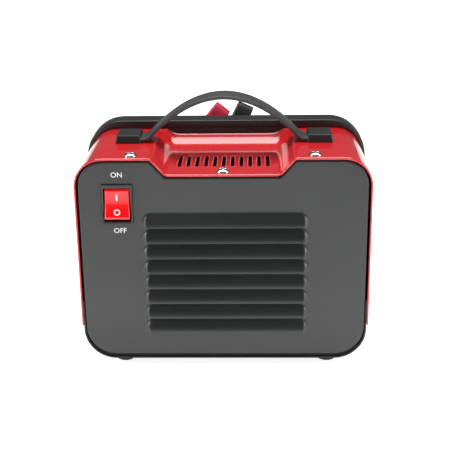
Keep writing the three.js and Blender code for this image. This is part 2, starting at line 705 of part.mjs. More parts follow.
/** From a gland straight out, then down in an S-bend to the floor, beside the coil's outer turn. */
function glandRoute(side) {
  return [
    [88, LEAD_START, 46], [88, 118, 46], [88.2, 122.8, 45.6], [88.7, 127.6, 44.2],
    [89.4, 132, 41.9], [90.3, 136, 38.7], [91.3, 139.6, 34.6], [92.4, 142.5, 29.6],
    [93.4, 144.7, 24.2], [94.4, 147.1, 18.9], [95.4, 150.4, 13.9], [96.3, 154.5, 9.6],
    [97.1, 159.4, 6.3], [97.8, 165, 4.2], [98.2, 170.8, LEAD_REST],
    [OUTER_TURN, 174.6, LEAD_REST],
  ].map(([x, y, z]) => [side * x, y, z]);
}

/** From the electrode clamp's handle down the machine's left, then round onto its coil. */
const ELECTRODE_ROUTE = [
  [-58.5, 113.5, 114.2], [-63.6, 113.6, 107.6], [-68.2, 114.6, 100.6], [-72, 117, 93],
  [-74.6, 120.8, 85], [-76.2, 125.6, 77], [-77, 131.2, 69], [-77.2, 137.2, 61],
  [-76.8, 142.6, 53], [-75.8, 147.8, 45], [-73.4, 152.4, 37], [-69.4, 156.2, 29.8],
  [-63.8, 159, 23.6], [-57, 160.6, 19], [-49.6, 161, COIL_REST],
];

/** From the earth clamp's handle down past the knob, then forward and right onto its coil. */
const EARTH_ROUTE = [
  [-21.1, 113.5, 105.4], [-23.4, 113.9, 99.2], [-24.5, 115.2, 92.6], [-24.3, 117.4, 86],
  [-22.4, 120.6, 79.8], [-19.2, 124.6, 73.6], [-15.2, 129, 67.6], [-10.8, 133.6, 61.4],
  [-6.2, 138.2, 55], [-1.8, 142.8, 48.4], [2.4, 147.4, 41.8], [6.2, 152.2, 35.2],
  [9.4, 157.6, 29.2], [11.6, 164.4, 23.8], [12.7, 172.2, 19.5], [13, 180.4, COIL_REST],
];

// ---------------------------------------------------------------- fan
function fan() {
  const half = FAN.size / 2;
  const y1 = FAN.y0 + FAN.depth;
  const frame = prismY(roundedRect(half, -half, half, 4), FAN.y0, y1, { curveSegments: 2 });
  const bore = rod('y', FAN.bore, 60, 0, FAN.y0, 0, 32);
  const hub = rod('y', FAN.hub, 3, 0, y1 - 1.5, 0, 20);
  const shaft = rod('y', 2, 8, 0, y1 - 6, 0, 10);
  let body = union(cut(frame, bore), hub, shaft);
  for (const turn of [45, 135]) {
    body = union(body, box(-FAN.bore - 2, FAN.bore + 2, y1 - 3, y1, -2, 2).rotate([0, turn, 0]));
  }
  const frameMesh = piece('fan_frame', body, BLACK_PLASTIC);
  frameMesh.position.z = FAN.z;

  const blades = 7;
  const core = turned(
    [[2 + GAP, 8], [FAN.hub - 1, 8], [FAN.hub - 1, 21.5], [2 + GAP, 21.5], [2 + GAP, 8]],
    'y', 0, 0, 0, 20,
  );
  let rotor = union(core, rod('y', FAN.hub - 1, 2, 0, 7.2, 0, 20));
  for (let i = 0; i < blades; i += 1) {
    const reach = FAN.bore - 1.5;
    const blade = box(FAN.hub - 3, reach, -0.9, 0.9, -9, 9)
      .rotate([35, 0, 0]).translate([0, 14, 0]).rotate([0, (i * 360) / blades, 0]);
    rotor = union(rotor, blade.intersect(rod('y', reach, 15, 0, 14, 0, 28)));
  }
  piece('fan_rotor', rotor, BLACK_PLASTIC).position.set(0, FAN.y0 - 1, FAN.z);

  const plateY = y1 + GAP;
  const plate = box(-half - 3, half + 3, plateY, plateY + 1.5, 10.2, FAN.z + half);
  const foot = box(-half - 3, half + 3, plateY, plateY + 14, 9.5, 11);
  const window = rod('y', FAN.bore, 20, 0, plateY, FAN.z, 32);
  piece('fan_bracket', cut(union(plate, foot), window), STEEL);
}

// ---------------------------------------------------------------- electronics
const BOARD = { half: 106, y0: 52, y1: 92, z: 24, thick: 1.6 };
const DECK = BOARD.z + BOARD.thick + GAP;      // what stands on the power board starts here
const SINK = { foot: 104, back: 100, reach: 62, y0: 54, y1: 88, top: 120, fins: 6, pitch: 8 };
const CORE = { x: -76, half: 20, y0: 55, y1: 79, height: 40, yoke: 7, side: 8, leg: 4 };
const CHOKE = { x: 76, y: 70, bore: 7, radius: 16, height: 24 };
const CAN = { x: -34, y: 70, pitch: 24, radius: 11, height: 42, count: 3 };
const RECTIFIER = { x: 41, half: 12, y0: 60, y1: 66, height: 24 };
const CONTROL = { half: 54, y0: 79, z0: 70, z1: 130 };

/** A finned heatsink that stands on the power board beside one side wall. */
function heatsink(name, side) {
  const { foot, back, reach, y0, y1, top, fins, pitch } = SINK;
  const between = (a, b, z0, z1) =>
    box(Math.min(side * a, side * b), Math.max(side * a, side * b), y0, y1, z0, z1);
  let sink = between(back, foot, DECK, top);
  for (let i = 0; i < fins; i += 1) {
    const z = top - 2 - i * pitch;
    sink = union(sink, between(reach, back + 1, z, z + 2));
  }
  piece(name, sink, ALUMINIUM);
}

/** The high-frequency transformer: a shell core with a middle leg, and a winding on the leg. */
function transformer() {
  const { x, half, y0, y1, height, yoke, side, leg } = CORE;
  const window = { half: half - side, z0: DECK + yoke, z1: DECK + height - yoke };
  const shell = cut(
    box(x - half, x + half, y0, y1, DECK, DECK + height),
    box(x - window.half, x + window.half, y0 - 1, y1 + 1, window.z0, window.z1),
  );
  const middle = box(x - leg, x + leg, y0 + 1, y1 - 1, window.z0 - 1, window.z1 + 1);
  piece('transformer_core', union(shell, middle), FERRITE);
  const coil = window.half - 0.5;
  const bore = leg + 0.5;
  const winding = cut(
    box(x - coil, x + coil, y0 - 0.5, y1 + 0.5, window.z0 + 1, window.z1 - 1),
    box(x - bore, x + bore, y0 + 0.4, y1 - 0.4, DECK, DECK + height),
  );
  piece('transformer_winding', winding, COPPER);
}

function electronics() {
  const { half, y0, y1, z, thick } = BOARD;
  piece('power_board', box(-half, half, y0, y1, z, z + thick), BOARD_GREEN);
  transformer();

  const { bore, radius, height } = CHOKE;
  const ring = [[bore, 0], [radius, 0], [radius, height], [bore, height], [bore, 0]];
  piece('output_choke', turned(ring, 'z', 0, 0, 0, 24), COPPER)
    .position.set(CHOKE.x, CHOKE.y, DECK);

  const bridge = RECTIFIER;
  piece('bridge_rectifier', box(
    bridge.x - bridge.half, bridge.x + bridge.half, bridge.y0, bridge.y1,
    DECK, DECK + bridge.height,
  ), BLACK_PLASTIC);

  const r = CAN.radius;
  const can = [
    [0, 0], [r, 0], [r, 3], [r - 0.6, 4], [r, 5], [r, CAN.height - 1], [r - 1, CAN.height],
    [0, CAN.height],
  ];
  for (let i = 0; i < CAN.count; i += 1) {
    piece(`bulk_capacitor_${i + 1}`, turned(can, 'z', 0, 0, 0, 18), SLEEVE_BLUE)
      .position.set(CAN.x + i * CAN.pitch, CAN.y, DECK);
  }
  heatsink('transistor_heatsink', -1);
  heatsink('rectifier_heatsink', 1);
  piece('control_board', box(
    -CONTROL.half, CONTROL.half, CONTROL.y0, CONTROL.y0 + thick, CONTROL.z0, CONTROL.z1,
  ), BOARD_GREEN);
}

function potentiometer() {
  const profile = [
    [0, -16], [8, -16], [8, -PANEL_THICK - GAP], [3.9, -PANEL_THICK - GAP], [3.9, 0.6],
    [3, 0.6], [3, 7.5], [0, 7.5],
  ];
  piece('current_potentiometer', turned(profile, 'y', 0, 0, 0, 16), STEEL)
    .position.set(KNOB.x, FRONT, KNOB.z);
}

// ---------------------------------------------------------------- build
topCover();
coverScrews();
baseTray();
feet();
rearPanel();
edgeTrim();
switchHousing();
switchRocker();
handle();
frontPanel();
frontBezel();
currentKnob();
potentiometer();
lamps();
gland('electrode_lead_gland', -GLAND.x, GLAND.z, GLAND.bore);
gland('earth_lead_gland', GLAND.x, GLAND.z, GLAND.bore);
gland('mains_gland', MAINS_GLAND.x, MAINS_GLAND.z, GLAND.bore);
parkingBar();
CLAMP_PLACES.forEach(springClamp);
fan();
electronics();

// The leads lie in front of the machine and don't count where its own origin is set.
const extent = new THREE.Box3().setFromObject(machine);
machine.position.y = -(extent.min.y + extent.max.y) / 2;
leadStretch('electrode_lead', glandRoute(-1), CLAMP_RED);
leadCoil('electrode_lead_coil', -1, CLAMP_RED);
leadStretch('electrode_lead_rise', ELECTRODE_ROUTE, CLAMP_RED);
leadStretch('earth_lead', glandRoute(1), CLAMP_BLACK);
leadCoil('earth_lead_coil', 1, CLAMP_BLACK);
leadStretch('earth_lead_rise', EARTH_ROUTE, CLAMP_BLACK);

export default machine;
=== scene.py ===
"""Stick welding inverter: the visual model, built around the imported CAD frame.

The machine stands on a pale studio floor and is seen from behind and above. Sizes are in
millimetres on the machine's own axes, where y is measured from the rear edge of the red cover and
z from the floor; at() turns them into Blender's metres in the frame's own axes.
"""
import math

import bmesh
import bpy
from mathutils import Matrix, Vector
from mathutils.geometry import tessellate_polygon


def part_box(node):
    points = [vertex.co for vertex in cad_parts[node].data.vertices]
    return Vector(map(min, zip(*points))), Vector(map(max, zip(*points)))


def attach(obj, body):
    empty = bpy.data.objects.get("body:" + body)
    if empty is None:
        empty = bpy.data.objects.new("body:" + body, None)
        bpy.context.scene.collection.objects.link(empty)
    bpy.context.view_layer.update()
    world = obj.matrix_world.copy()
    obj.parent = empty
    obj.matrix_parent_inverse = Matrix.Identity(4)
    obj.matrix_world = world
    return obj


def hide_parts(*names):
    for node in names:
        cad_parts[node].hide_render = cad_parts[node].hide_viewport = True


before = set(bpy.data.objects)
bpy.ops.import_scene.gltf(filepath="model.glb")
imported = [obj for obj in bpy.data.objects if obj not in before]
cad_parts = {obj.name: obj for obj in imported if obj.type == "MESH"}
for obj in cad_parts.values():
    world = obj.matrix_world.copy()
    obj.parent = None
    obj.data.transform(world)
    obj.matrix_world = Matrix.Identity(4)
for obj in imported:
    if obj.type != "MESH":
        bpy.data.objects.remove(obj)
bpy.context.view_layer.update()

MM = 0.001
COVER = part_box("top_cover")
REAR_Y = COVER[0].y


def at(x, y, z):
    """A point of the machine, given in millimetres, in the frame's metres."""
    return Vector((x * MM, REAR_Y + y * MM, z * MM))


# ------------------------------------------------------------------ driving sizes, from the frame
GAP = 0.3
SHEET = 1.2
HALF = COVER[1].x / MM                       # half width over the red cover
TOP = COVER[1].z / MM                        # top of the two lobes
SKIRT = COVER[0].z / MM                      # lower edge of the red skirts
DEPTH = (COVER[1].y - REAR_Y) / MM           # length of the cover, rear to front
CORNER = 22.5                                # outer radius of the cover's upper corners
TRAY_CORNER = 25.5                           # outer radius of the tray's lower corners
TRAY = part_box("base_tray")
FLOOR = TRAY[0].z / MM                       # underside of the base tray
TRAY_TOP = TRAY[1].z / MM
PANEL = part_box("rear_panel")
PANEL_HALF = PANEL[1].x / MM
PANEL_LOW = PANEL[0].z / MM
PANEL_TOP = PANEL[1].z / MM
PANEL_CORNERS = (TRAY_CORNER - 1.5, CORNER - 2.2)
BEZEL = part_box("front_bezel")
BEZEL_FRONT = (BEZEL[1].y - REAR_Y) / MM
FRONT = (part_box("front_panel")[1].y - REAR_Y) / MM

RECESS_DEPTH = 13.0
RECESS_HALF = 43.7                           # half width of the recess's floor
RECESS_SLOPE = 13.0 / 11.7                   # rise of its side walls
RECESS_BACK = 78.5                           # where its floor starts to curve up to the bezel
RECESS_BACK_RADIUS = 19.0
RECESS_BACK_RISE = 8.8
RECESS_TURN = 84.5                           # where its walls start to draw in
RECESS_TURN_RADIUS = 11.0
SLOTS = 11
SLOT_PITCH = 7.0
SLOT_WIDTH = 2.8
SLOT_SPAN = (24.5, 54.5)

LOUVRES = 8
LOUVRE_PITCH = 12.7
LOUVRE_TOP_LIP = 121.2
LOUVRE_X = 1.5
LOUVRE_HEIGHT = 11.6
LOUVRE_DEPTH = 4.2

SWITCH_X = -81.8
SWITCH_Z = 139.9
SWITCH_SIZE = (24.6, 32.0)
BLOCK_X = 77.0
BLOCK_Y = 58.8
BAR_Y = 132.0
BAR_Z = 173.0
KNOB_X = -42.0
KNOB_Z = 82.0
GLAND_LENGTH = 14.0
LEAD_RADIUS = 3.25
COIL_X = 52.0
COIL_Y = 200.0
COIL_RADIUS = 39.0
COIL_HEIGHT = 13.4


# ------------------------------------------------------------------ mesh helpers
def link(name, data):
    """A new object in the scene."""
    thing = bpy.data.objects.new(name, data)
    bpy.context.scene.collection.objects.link(thing)
    return thing


def settle(piece, paint, replaces=(), body="root"):
    """Says what a piece rides on and what it stands for, whose CAD parts it hides; paint is not
    used.
    """
    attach(piece, body)
    if replaces:
        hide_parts(*replaces)


def add_piece(name, verts, faces, paint, replaces=(), body="root", smooth=True, sharp=None):
    """A mesh object from points in millimetres. Edges steeper than sharp degrees stay crisp."""
    mesh = bpy.data.meshes.new(name)
    mesh.from_pydata([at(*v) for v in verts], [], faces)
    work = bmesh.new()
    work.from_mesh(mesh)
    bmesh.ops.remove_doubles(work, verts=work.verts, dist=1e-6)
    bmesh.ops.recalc_face_normals(work, faces=work.faces)
    for face in work.faces:
        face.smooth = smooth
    work.to_mesh(mesh)
    work.free()
    mesh.materials.append(PAINT[paint])
    piece = link(name, mesh)
    settle(piece, paint, replaces, body)
    if sharp:
        mesh.set_sharp_from_angle(angle=math.radians(sharp))
    return piece


def thicken(piece, thickness, offset=-1.0, even=True, rim=True):
    """Gives a sheet its thickness; even keeps it constant across folds, rim closes its edges."""
    solid = piece.modifiers.new("sheet", "SOLIDIFY")
    solid.thickness = thickness * MM
    solid.offset = offset
    solid.use_even_offset = even
    solid.use_rim = rim


def round_edges(piece, width, segments=2, angle=40):
    edge = piece.modifiers.new("edges", "BEVEL")
    edge.width = width * MM
    edge.segments = segments
    edge.limit_method = "ANGLE"
    edge.angle_limit = math.radians(angle)
    edge.harden_normals = False
    flat = piece.modifiers.new("shading", "WEIGHTED_NORMAL")
    flat.keep_sharp = True


def rounded(corners, segments=8):
    """A closed outline through corners (a, b, radius), each rounded by an arc."""
    points = []
    count = len(corners)
    for i, (a, b, radius) in enumerate(corners):
        here = Vector((a, b))
        back = (Vector(corners[i - 1][:2]) - here).normalized()
        ahead = (Vector(corners[(i + 1) % count][:2]) - here).normalized()
        half = back.angle(ahead) / 2
        centre = here + (back + ahead).normalized() * (radius / math.sin(half))
        start = here + back * (radius / math.tan(half)) - centre
        end = here + ahead * (radius / math.tan(half)) - centre
        first = math.atan2(start.y, start.x)
        sweep = (math.atan2(end.y, end.x) - first + math.pi) % (2 * math.pi) - math.pi
        for k in range(segments + 1):
            turn = first + sweep * k / segments
            points.append((centre.x + radius * math.cos(turn), centre.y + radius * math.sin(turn)))
    return points


def round_rect(half, low, high, radius, segments=8, top_radius=None):
    """A rectangle with round corners, its upper ones of another radius if one is given."""
    top = radius if top_radius is None else top_radius
    return rounded([
        (-half, low, radius), (half, low, radius), (half, high, top), (-half, high, top),
    ], segments)


def bridge(rings, closed_section=False):
    """Quads between rings of equal length; the section itself may close on itself."""
    size = len(rings[0])
    verts = [v for ring in rings for v in ring]
    faces = []
    pairs = range(len(rings)) if closed_section else range(len(rings) - 1)
    for r in pairs:
        nxt = (r + 1) % len(rings)
        for k in range(size):
            j = (k + 1) % size
            faces.append((r * size + k, r * size + j, nxt * size + j, nxt * size + k))
    return verts, faces


def capped(rings):
    """Quads between rings, with a face across each end."""
    verts, faces = bridge(rings)
    size = len(rings[0])
    faces += [tuple(range(size)), tuple(range(len(verts) - size, len(verts)))]
    return verts, faces


def grid(width, rows, base=0):
    """Quads over points laid out in rows of the given width."""
    return [
        (k, k + 1, k + 1 + width, k + width)
        for j in range(rows - 1) for k in range(base + j * width, base + (j + 1) * width - 1)
    ]


def join(verts, faces, more):
    """Adds more, a pair of points and faces, to lists of points and faces."""
    base = len(verts)
    verts += more[0]
    faces += [tuple(base + k for k in face) for face in more[1]]


def circle(sides):
    """The cosine and sine of evenly spaced turns."""
    turns = [2 * math.pi * k / sides for k in range(sides)]
    return [(math.cos(turn), math.sin(turn)) for turn in turns]


def lathe(profile, axis, origin, sides):
    """Turns (radius, distance) pairs about y or z through origin; ends on the axis close."""
    ox, oy, oz = origin
    rings = []
    for r, along in profile:
        if axis == "z":
            rings.append([(ox + r * a, oy + r * b, oz + along) for a, b in circle(sides)])
        else:
            rings.append([(ox + r * a, oy + along, oz + r * b) for a, b in circle(sides)])
    return bridge(rings) if profile[0] == profile[-1] else capped(rings)


def bake_shape(piece):
    """Applies a piece's modifiers to its mesh."""
    graph = bpy.context.evaluated_depsgraph_get()
    mesh = bpy.data.meshes.new_from_object(piece.evaluated_get(graph))
    old = piece.data
    piece.modifiers.clear()
    piece.data = mesh
    bpy.data.meshes.remove(old)


def cut_boxes(piece, boxes, place=lambda *point: point):
    """Cuts boxes (a0, a1, b0, b1, c0, c1) out of a piece; place turns their points into ours."""
    sides = [(0, 1, 3, 2), (4, 6, 7, 5), (0, 4, 5, 1), (2, 3, 7, 6), (0, 2, 6, 4), (1, 5, 7, 3)]
    for a0, a1, b0, b1, c0, c1 in boxes:
        corners = [(a, b, c) for a in (a0, a1) for b in (b0, b1) for c in (c0, c1)]
        mesh = bpy.data.meshes.new("cutter")
        mesh.from_pydata([at(*place(*corner)) for corner in corners], [], sides)
        cutter = link("cutter", mesh)
        step = piece.modifiers.new("cut", "BOOLEAN")
        step.operation = "DIFFERENCE"
        step.solver = "EXACT"
        step.object = cutter
        bake_shape(piece)
        bpy.data.objects.remove(cutter)
        bpy.data.meshes.remove(mesh)


def blend_min(a, b, k):
    """The smaller of two numbers, with a fillet of size k between them."""
    h = max(k - abs(a - b), 0.0) / k
    return min(a, b) - h * h * k * 0.25


def blend_max(a, b, k):
    return -blend_min(-a, -b, k)


def spread(low, high, step):
    """Evenly spaced values from low to high, about step apart."""
    count = max(1, round((high - low) / step))
    return [low + (high - low) * i / count for i in range(count + 1)]


def ease(value, start, span):
    """0 before start, 1 after start + span, and a smooth rise between."""
    t = min(max((value - start) / span, 0.0), 1.0)
    return 0.5 - 0.5 * math.cos(math.pi * t)


def place_of(node):
    """The middle of a CAD node, in millimetres on the machine's axes."""
    low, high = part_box(node)
    return (
        (low.x + high.x) / 2 / MM,
        ((low.y + high.y) / 2 - REAR_Y) / MM,
        (low.z + high.z) / 2 / MM,
    )


def radius_of(node):
    """Half the width of a CAD node, in millimetres."""
    low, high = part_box(node)
    return (high.x - low.x) / 2 / MM


# ------------------------------------------------------------------ camera
def make_camera():
    """Behind the machine and above it, a long lens looking down on the rear panel."""
    lens = bpy.data.cameras.new("camera")
    lens.lens = 80.8
    lens.sensor_width = 36
    lens.clip_end = 50
    camera = link("camera", lens)
    pitch, yaw, roll = math.radians(19.52), math.radians(1.67), math.radians(-0.78)
    camera.matrix_world = (
        Matrix.Translation(at(23.7, -742, 385))
        @ Matrix.Rotation(yaw, 4, "Z")
        @ Matrix.Rotation(math.pi / 2 - pitch, 4, "X")
        @ Matrix.Rotation(roll, 4, "Z")
    )
    bpy.context.scene.camera = camera


make_camera()


# ------------------------------------------------------------------ materials
def principled(name):
    material = bpy.data.materials.new(name)
    material.use_nodes = True
    tree = material.node_tree
    return material, tree, tree.nodes["Principled BSDF"]


def add_node(tree, kind, **values):
    """A node with its inputs set by name, numbers for input sockets and text for properties."""
    node = tree.nodes.new(kind)
    for key, value in values.items():
        if key in node.inputs:
            node.inputs[key].default_value = value
        else:
            setattr(node, key, value)
    return node


def noise(tree, scale, detail=3.0, roughness=0.5):
    """Noise in the machine's own space; scale is in features per metre."""
    place = add_node(tree, "ShaderNodeTexCoord")
    texture = add_node(tree, "ShaderNodeTexNoise", Scale=scale, Detail=detail, Roughness=roughness)
    tree.links.new(place.outputs["Object"], texture.inputs["Vector"])
    return texture.outputs["Fac"]


def ramp(tree, source, stops):
    """A colour ramp over a value; stops are (position, colour or grey level) pairs."""
    node = tree.nodes.new("ShaderNodeValToRGB")
    elements = node.color_ramp.elements
    while len(elements) < len(stops):
        elements.new(0.5)
    for element, (position, level) in zip(elements, stops):
        element.position = position
        colour = level if hasattr(level, "__len__") else (level, level, level)
        element.color = (*colour, 1.0)
    tree.links.new(source, node.inputs["Fac"])
    return node.outputs["Color"]


def add_bump(tree, shader, source, strength, distance, socket="Normal"):
    """Bumps a shader's normal; distance is in millimetres."""
    node = add_node(tree, "ShaderNodeBump", Strength=strength, Distance=distance * MM)
    tree.links.new(source, node.inputs["Height"])
    tree.links.new(node.outputs["Normal"], shader.inputs[socket])


def surface(name, dark, light, rough, patch=25.0, grain=1500.0, relief=0.25, depth=0.05, spec=0.5):
    """A solid material: colour that drifts between two tones, uneven gloss and a fine grain."""
    material, tree, shader = principled(name)
    drift = noise(tree, patch)
    colour = ramp(tree, drift, [(0.35, dark), (0.65, light)])
    tree.links.new(colour, shader.inputs["Base Color"])
    fine = noise(tree, grain, detail=4.0, roughness=0.6)
    gloss = ramp(tree, fine, [(0.3, rough[0]), (0.7, rough[1])])
    tree.links.new(gloss, shader.inputs["Roughness"])
    add_bump(tree, shader, fine, relief, depth)
    shader.inputs["Specular IOR Level"].default_value = spec
    return material


def red_paint():
    """Wet-looking stove enamel: a clear mirror coat over a saturated red."""
    material, tree, shader = principled("red_paint")
    drift = noise(tree, 18)
    colour = ramp(tree, drift, [(0.3, (0.56, 0.008, 0.013)), (0.7, (0.62, 0.011, 0.017))])
    tree.links.new(colour, shader.inputs["Base Color"])
    shader.inputs["Roughness"].default_value = 0.35
    shader.inputs["Specular IOR Level"].default_value = 0.3
    shader.inputs["Coat Weight"].default_value = 1.0
    shader.inputs["Coat Roughness"].default_value = 0.03
    shader.inputs["Coat IOR"].default_value = 1.55
    peel = noise(tree, 160, detail=2.0)
    add_bump(tree, shader, peel, 0.12, 0.03, "Coat Normal")
    flake = noise(tree, 2500, detail=2.0)
    add_bump(tree, shader, flake, 0.1, 0.01)
    return material


def brushed(name, dark, light, rough, stretch=(1, 1, 12)):
    """Bare metal with fine drawn lines."""
    material, tree, shader = principled(name)
    place = add_node(tree, "ShaderNodeTexCoord")
    mapping = add_node(tree, "ShaderNodeMapping")
    mapping.inputs["Scale"].default_value = stretch
    tree.links.new(place.outputs["Object"], mapping.inputs["Vector"])
    texture = add_node(tree, "ShaderNodeTexNoise", Scale=900.0, Detail=4.0)
    tree.links.new(mapping.outputs["Vector"], texture.inputs["Vector"])
    lines = texture.outputs["Fac"]
    tree.links.new(ramp(tree, lines, [(0.3, dark), (0.7, light)]), shader.inputs["Base Color"])
    tree.links.new(ramp(tree, lines, [(0.3, rough[0]), (0.7, rough[1])]), shader.inputs["Roughness"])
    add_bump(tree, shader, lines, 0.15, 0.02)
    shader.inputs["Metallic"].default_value = 1.0
    return material


def lens(name, dark, light, glow, strength):
    """A tinted clear plastic lens, lit from inside through a moulded prism pattern."""
    material, tree, shader = principled(name)
    place = add_node(tree, "ShaderNodeTexCoord")
    prism = add_node(tree, "ShaderNodeTexVoronoi", Scale=1100.0)
    tree.links.new(place.outputs["Object"], prism.inputs["Vector"])
    cells = prism.outputs["Distance"]
    tree.links.new(ramp(tree, cells, [(0.2, light), (0.8, dark)]), shader.inputs["Base Color"])
    tree.links.new(ramp(tree, cells, [(0.2, glow), (0.9, dark)]), shader.inputs["Emission Color"])
    shader.inputs["Emission Strength"].default_value = strength
    shader.inputs["Roughness"].default_value = 0.25
    shader.inputs["Coat Weight"].default_value = 0.6
    add_bump(tree, shader, cells, 0.1, 0.1)
    return material


def circuit_board():
    """Green solder mask with lighter copper tracks under it."""
    material, tree, shader = principled("circuit_board")
    place = add_node(tree, "ShaderNodeTexCoord")
    tracks = add_node(tree, "ShaderNodeTexBrick", Scale=60.0)
    tracks.inputs["Color1"].default_value = (0.012, 0.09, 0.03, 1)
    tracks.inputs["Color2"].default_value = (0.016, 0.12, 0.04, 1)
    tracks.inputs["Mortar"].default_value = (0.05, 0.22, 0.07, 1)
    tracks.inputs["Mortar Size"].default_value = 0.03
    tree.links.new(place.outputs["Object"], tracks.inputs["Vector"])
    tree.links.new(tracks.outputs["Color"], shader.inputs["Base Color"])
    fine = noise(tree, 400)
    tree.links.new(ramp(tree, fine, [(0.3, 0.25), (0.7, 0.4)]), shader.inputs["Roughness"])
    add_bump(tree, shader, tracks.outputs["Fac"], 0.3, 0.1)
    return material


def wound_copper():
    """Enamelled copper wire in close turns, with painted shade in the grooves between the turns."""
    material, tree, shader = principled("copper")
    place = add_node(tree, "ShaderNodeTexCoord")
    turns = add_node(tree, "ShaderNodeTexWave", Scale=180.0, bands_direction="Z")
    turns.inputs["Distortion"].default_value = 0.6
    tree.links.new(place.outputs["Object"], turns.inputs["Vector"])
    wires = turns.outputs["Fac"]
    # the dark end of this ramp is painted shade in the grooves between turns; the bright end is the
    # copper's own tone
    tree.links.new(
        ramp(tree, wires, [(0.1, (0.12, 0.035, 0.012)), (0.7, (0.62, 0.24, 0.09))]),
        shader.inputs["Base Color"],
    )
    tree.links.new(ramp(tree, wires, [(0.2, 0.5), (0.8, 0.25)]), shader.inputs["Roughness"])
    add_bump(tree, shader, wires, 0.6, 0.4)
    shader.inputs["Metallic"].default_value = 0.8
    return material


def ink():
    """Screen-printed white marks."""
    return surface("white_ink", (0.78, 0.79, 0.78), (0.86, 0.87, 0.86), (0.45, 0.6), patch=900)


def make_materials():
    return {
        "red_paint": red_paint(),
        "dark_paint": surface(
            "dark_paint", (0.018, 0.019, 0.019), (0.022, 0.023, 0.023), (0.3, 0.4),
            patch=14, grain=1100, relief=0.22, depth=0.03, spec=0.55,
        ),
        "black_paint": surface(
            "black_paint", (0.008, 0.008, 0.009), (0.012, 0.012, 0.013), (0.35, 0.5), relief=0.2,
        ),
        "black_plastic": surface(
            "black_plastic", (0.014, 0.015, 0.015), (0.019, 0.020, 0.020), (0.34, 0.46),
            grain=1800, relief=0.2, depth=0.03,
        ),
        "strap_plastic": surface(
            "strap_plastic", (0.034, 0.035, 0.035), (0.041, 0.042, 0.042), (0.42, 0.56),
            grain=1300, relief=0.35, depth=0.04,
        ),
        "rubber": surface(
            "rubber", (0.006, 0.006, 0.006), (0.010, 0.010, 0.010), (0.6, 0.8),
            grain=900, relief=0.3,
        ),
        "nickel": brushed("nickel", (0.78, 0.76, 0.72), (0.9, 0.88, 0.84), (0.12, 0.24)),
        "steel": brushed("steel", (0.38, 0.39, 0.41), (0.52, 0.53, 0.55), (0.28, 0.4)),
        "aluminium": brushed(
            "aluminium", (0.55, 0.56, 0.58), (0.68, 0.69, 0.7), (0.3, 0.42), stretch=(1, 14, 1),
        ),
        "copper": wound_copper(),
        "ferrite": surface(
            "ferrite", (0.025, 0.026, 0.028), (0.045, 0.046, 0.048), (0.6, 0.75), grain=700,
        ),
        "circuit_board": circuit_board(),
        "capacitor_sleeve": surface(
            "capacitor_sleeve", (0.01, 0.018, 0.05), (0.014, 0.024, 0.065), (0.22, 0.3),
        ),
        "switch_red": lens("switch_red", (0.6, 0.002, 0.004), (0.7, 0.004, 0.006),
                           (0.95, 0.003, 0.004), 0.3),
        "lamp_green": lens("lamp_green", (0.01, 0.22, 0.03), (0.02, 0.45, 0.06),
                           (0.03, 0.6, 0.08), 0.2),
        "lamp_amber": lens("lamp_amber", (0.4, 0.12, 0.005), (0.75, 0.28, 0.01),
                           (0.9, 0.3, 0.01), 0.2),
        "clamp_red": surface(
            "clamp_red", (0.42, 0.008, 0.035), (0.52, 0.012, 0.05), (0.38, 0.5),
            grain=1400, relief=0.35, depth=0.05,
        ),
        "clamp_black": surface(
            "clamp_black", (0.009, 0.009, 0.009), (0.014, 0.014, 0.014), (0.4, 0.52),
            grain=1400, relief=0.35, depth=0.05,
        ),
        "lead_red": surface(
            "lead_red", (0.5, 0.008, 0.03), (0.58, 0.012, 0.04), (0.4, 0.52), grain=2200,
        ),
        "lead_black": surface(
            "lead_black", (0.009, 0.009, 0.009), (0.014, 0.014, 0.014), (0.42, 0.55), grain=2200,
        ),
        "ink": ink(),
    }


PAINT = make_materials()


# ------------------------------------------------------------------ leads
COIL_PITCH = 7.25
LAYER = LEAD_RADIUS * 2 + 0.2
LEAD_REST = LEAD_RADIUS + 0.15
COIL_REST = COIL_HEIGHT + GAP + LEAD_RADIUS
LEAD_START = FRONT + GLAND_LENGTH + GAP

GLAND_ROUTE = [
    (88, LEAD_START, 46), (88, 118, 46), (88.2, 122.8, 45.6), (88.7, 127.6, 44.2),
    (89.4, 132, 41.9), (90.3, 136, 38.7), (91.3, 139.6, 34.6), (92.4, 142.5, 29.6),
    (93.4, 144.7, 24.2), (94.4, 147.1, 18.9), (95.4, 150.4, 13.9), (96.3, 154.5, 9.6),
    (97.1, 159.4, 6.3), (97.8, 165, 4.2), (98.2, 170.8, LEAD_REST),
    (COIL_X + COIL_RADIUS + COIL_PITCH, 174.6, LEAD_REST),
]
ELECTRODE_ROUTE = [
    (-58.5, 113.5, 114.2), (-63.6, 113.6, 107.6), (-68.2, 114.6, 100.6), (-72, 117, 93),
    (-74.6, 120.8, 85), (-76.2, 125.6, 77), (-77, 131.2, 69), (-77.2, 137.2, 61),
    (-76.8, 142.6, 53), (-75.8, 147.8, 45), (-73.4, 152.4, 37), (-69.4, 156.2, 29.8),
    (-63.8, 159, 23.6), (-57, 160.6, 19), (-49.6, 161, COIL_REST),
]
EARTH_ROUTE = [
    (-21.1, 113.5, 105.4), (-23.4, 113.9, 99.2), (-24.5, 115.2, 92.6), (-24.3, 117.4, 86),
    (-22.4, 120.6, 79.8), (-19.2, 124.6, 73.6), (-15.2, 129, 67.6), (-10.8, 133.6, 61.4),
    (-6.2, 138.2, 55), (-1.8, 142.8, 48.4), (2.4, 147.4, 41.8), (6.2, 152.2, 35.2),
    (9.4, 157.6, 29.2), (11.6, 164.4, 23.8), (12.7, 172.2, 19.5), (13, 180.4, COIL_REST),
]


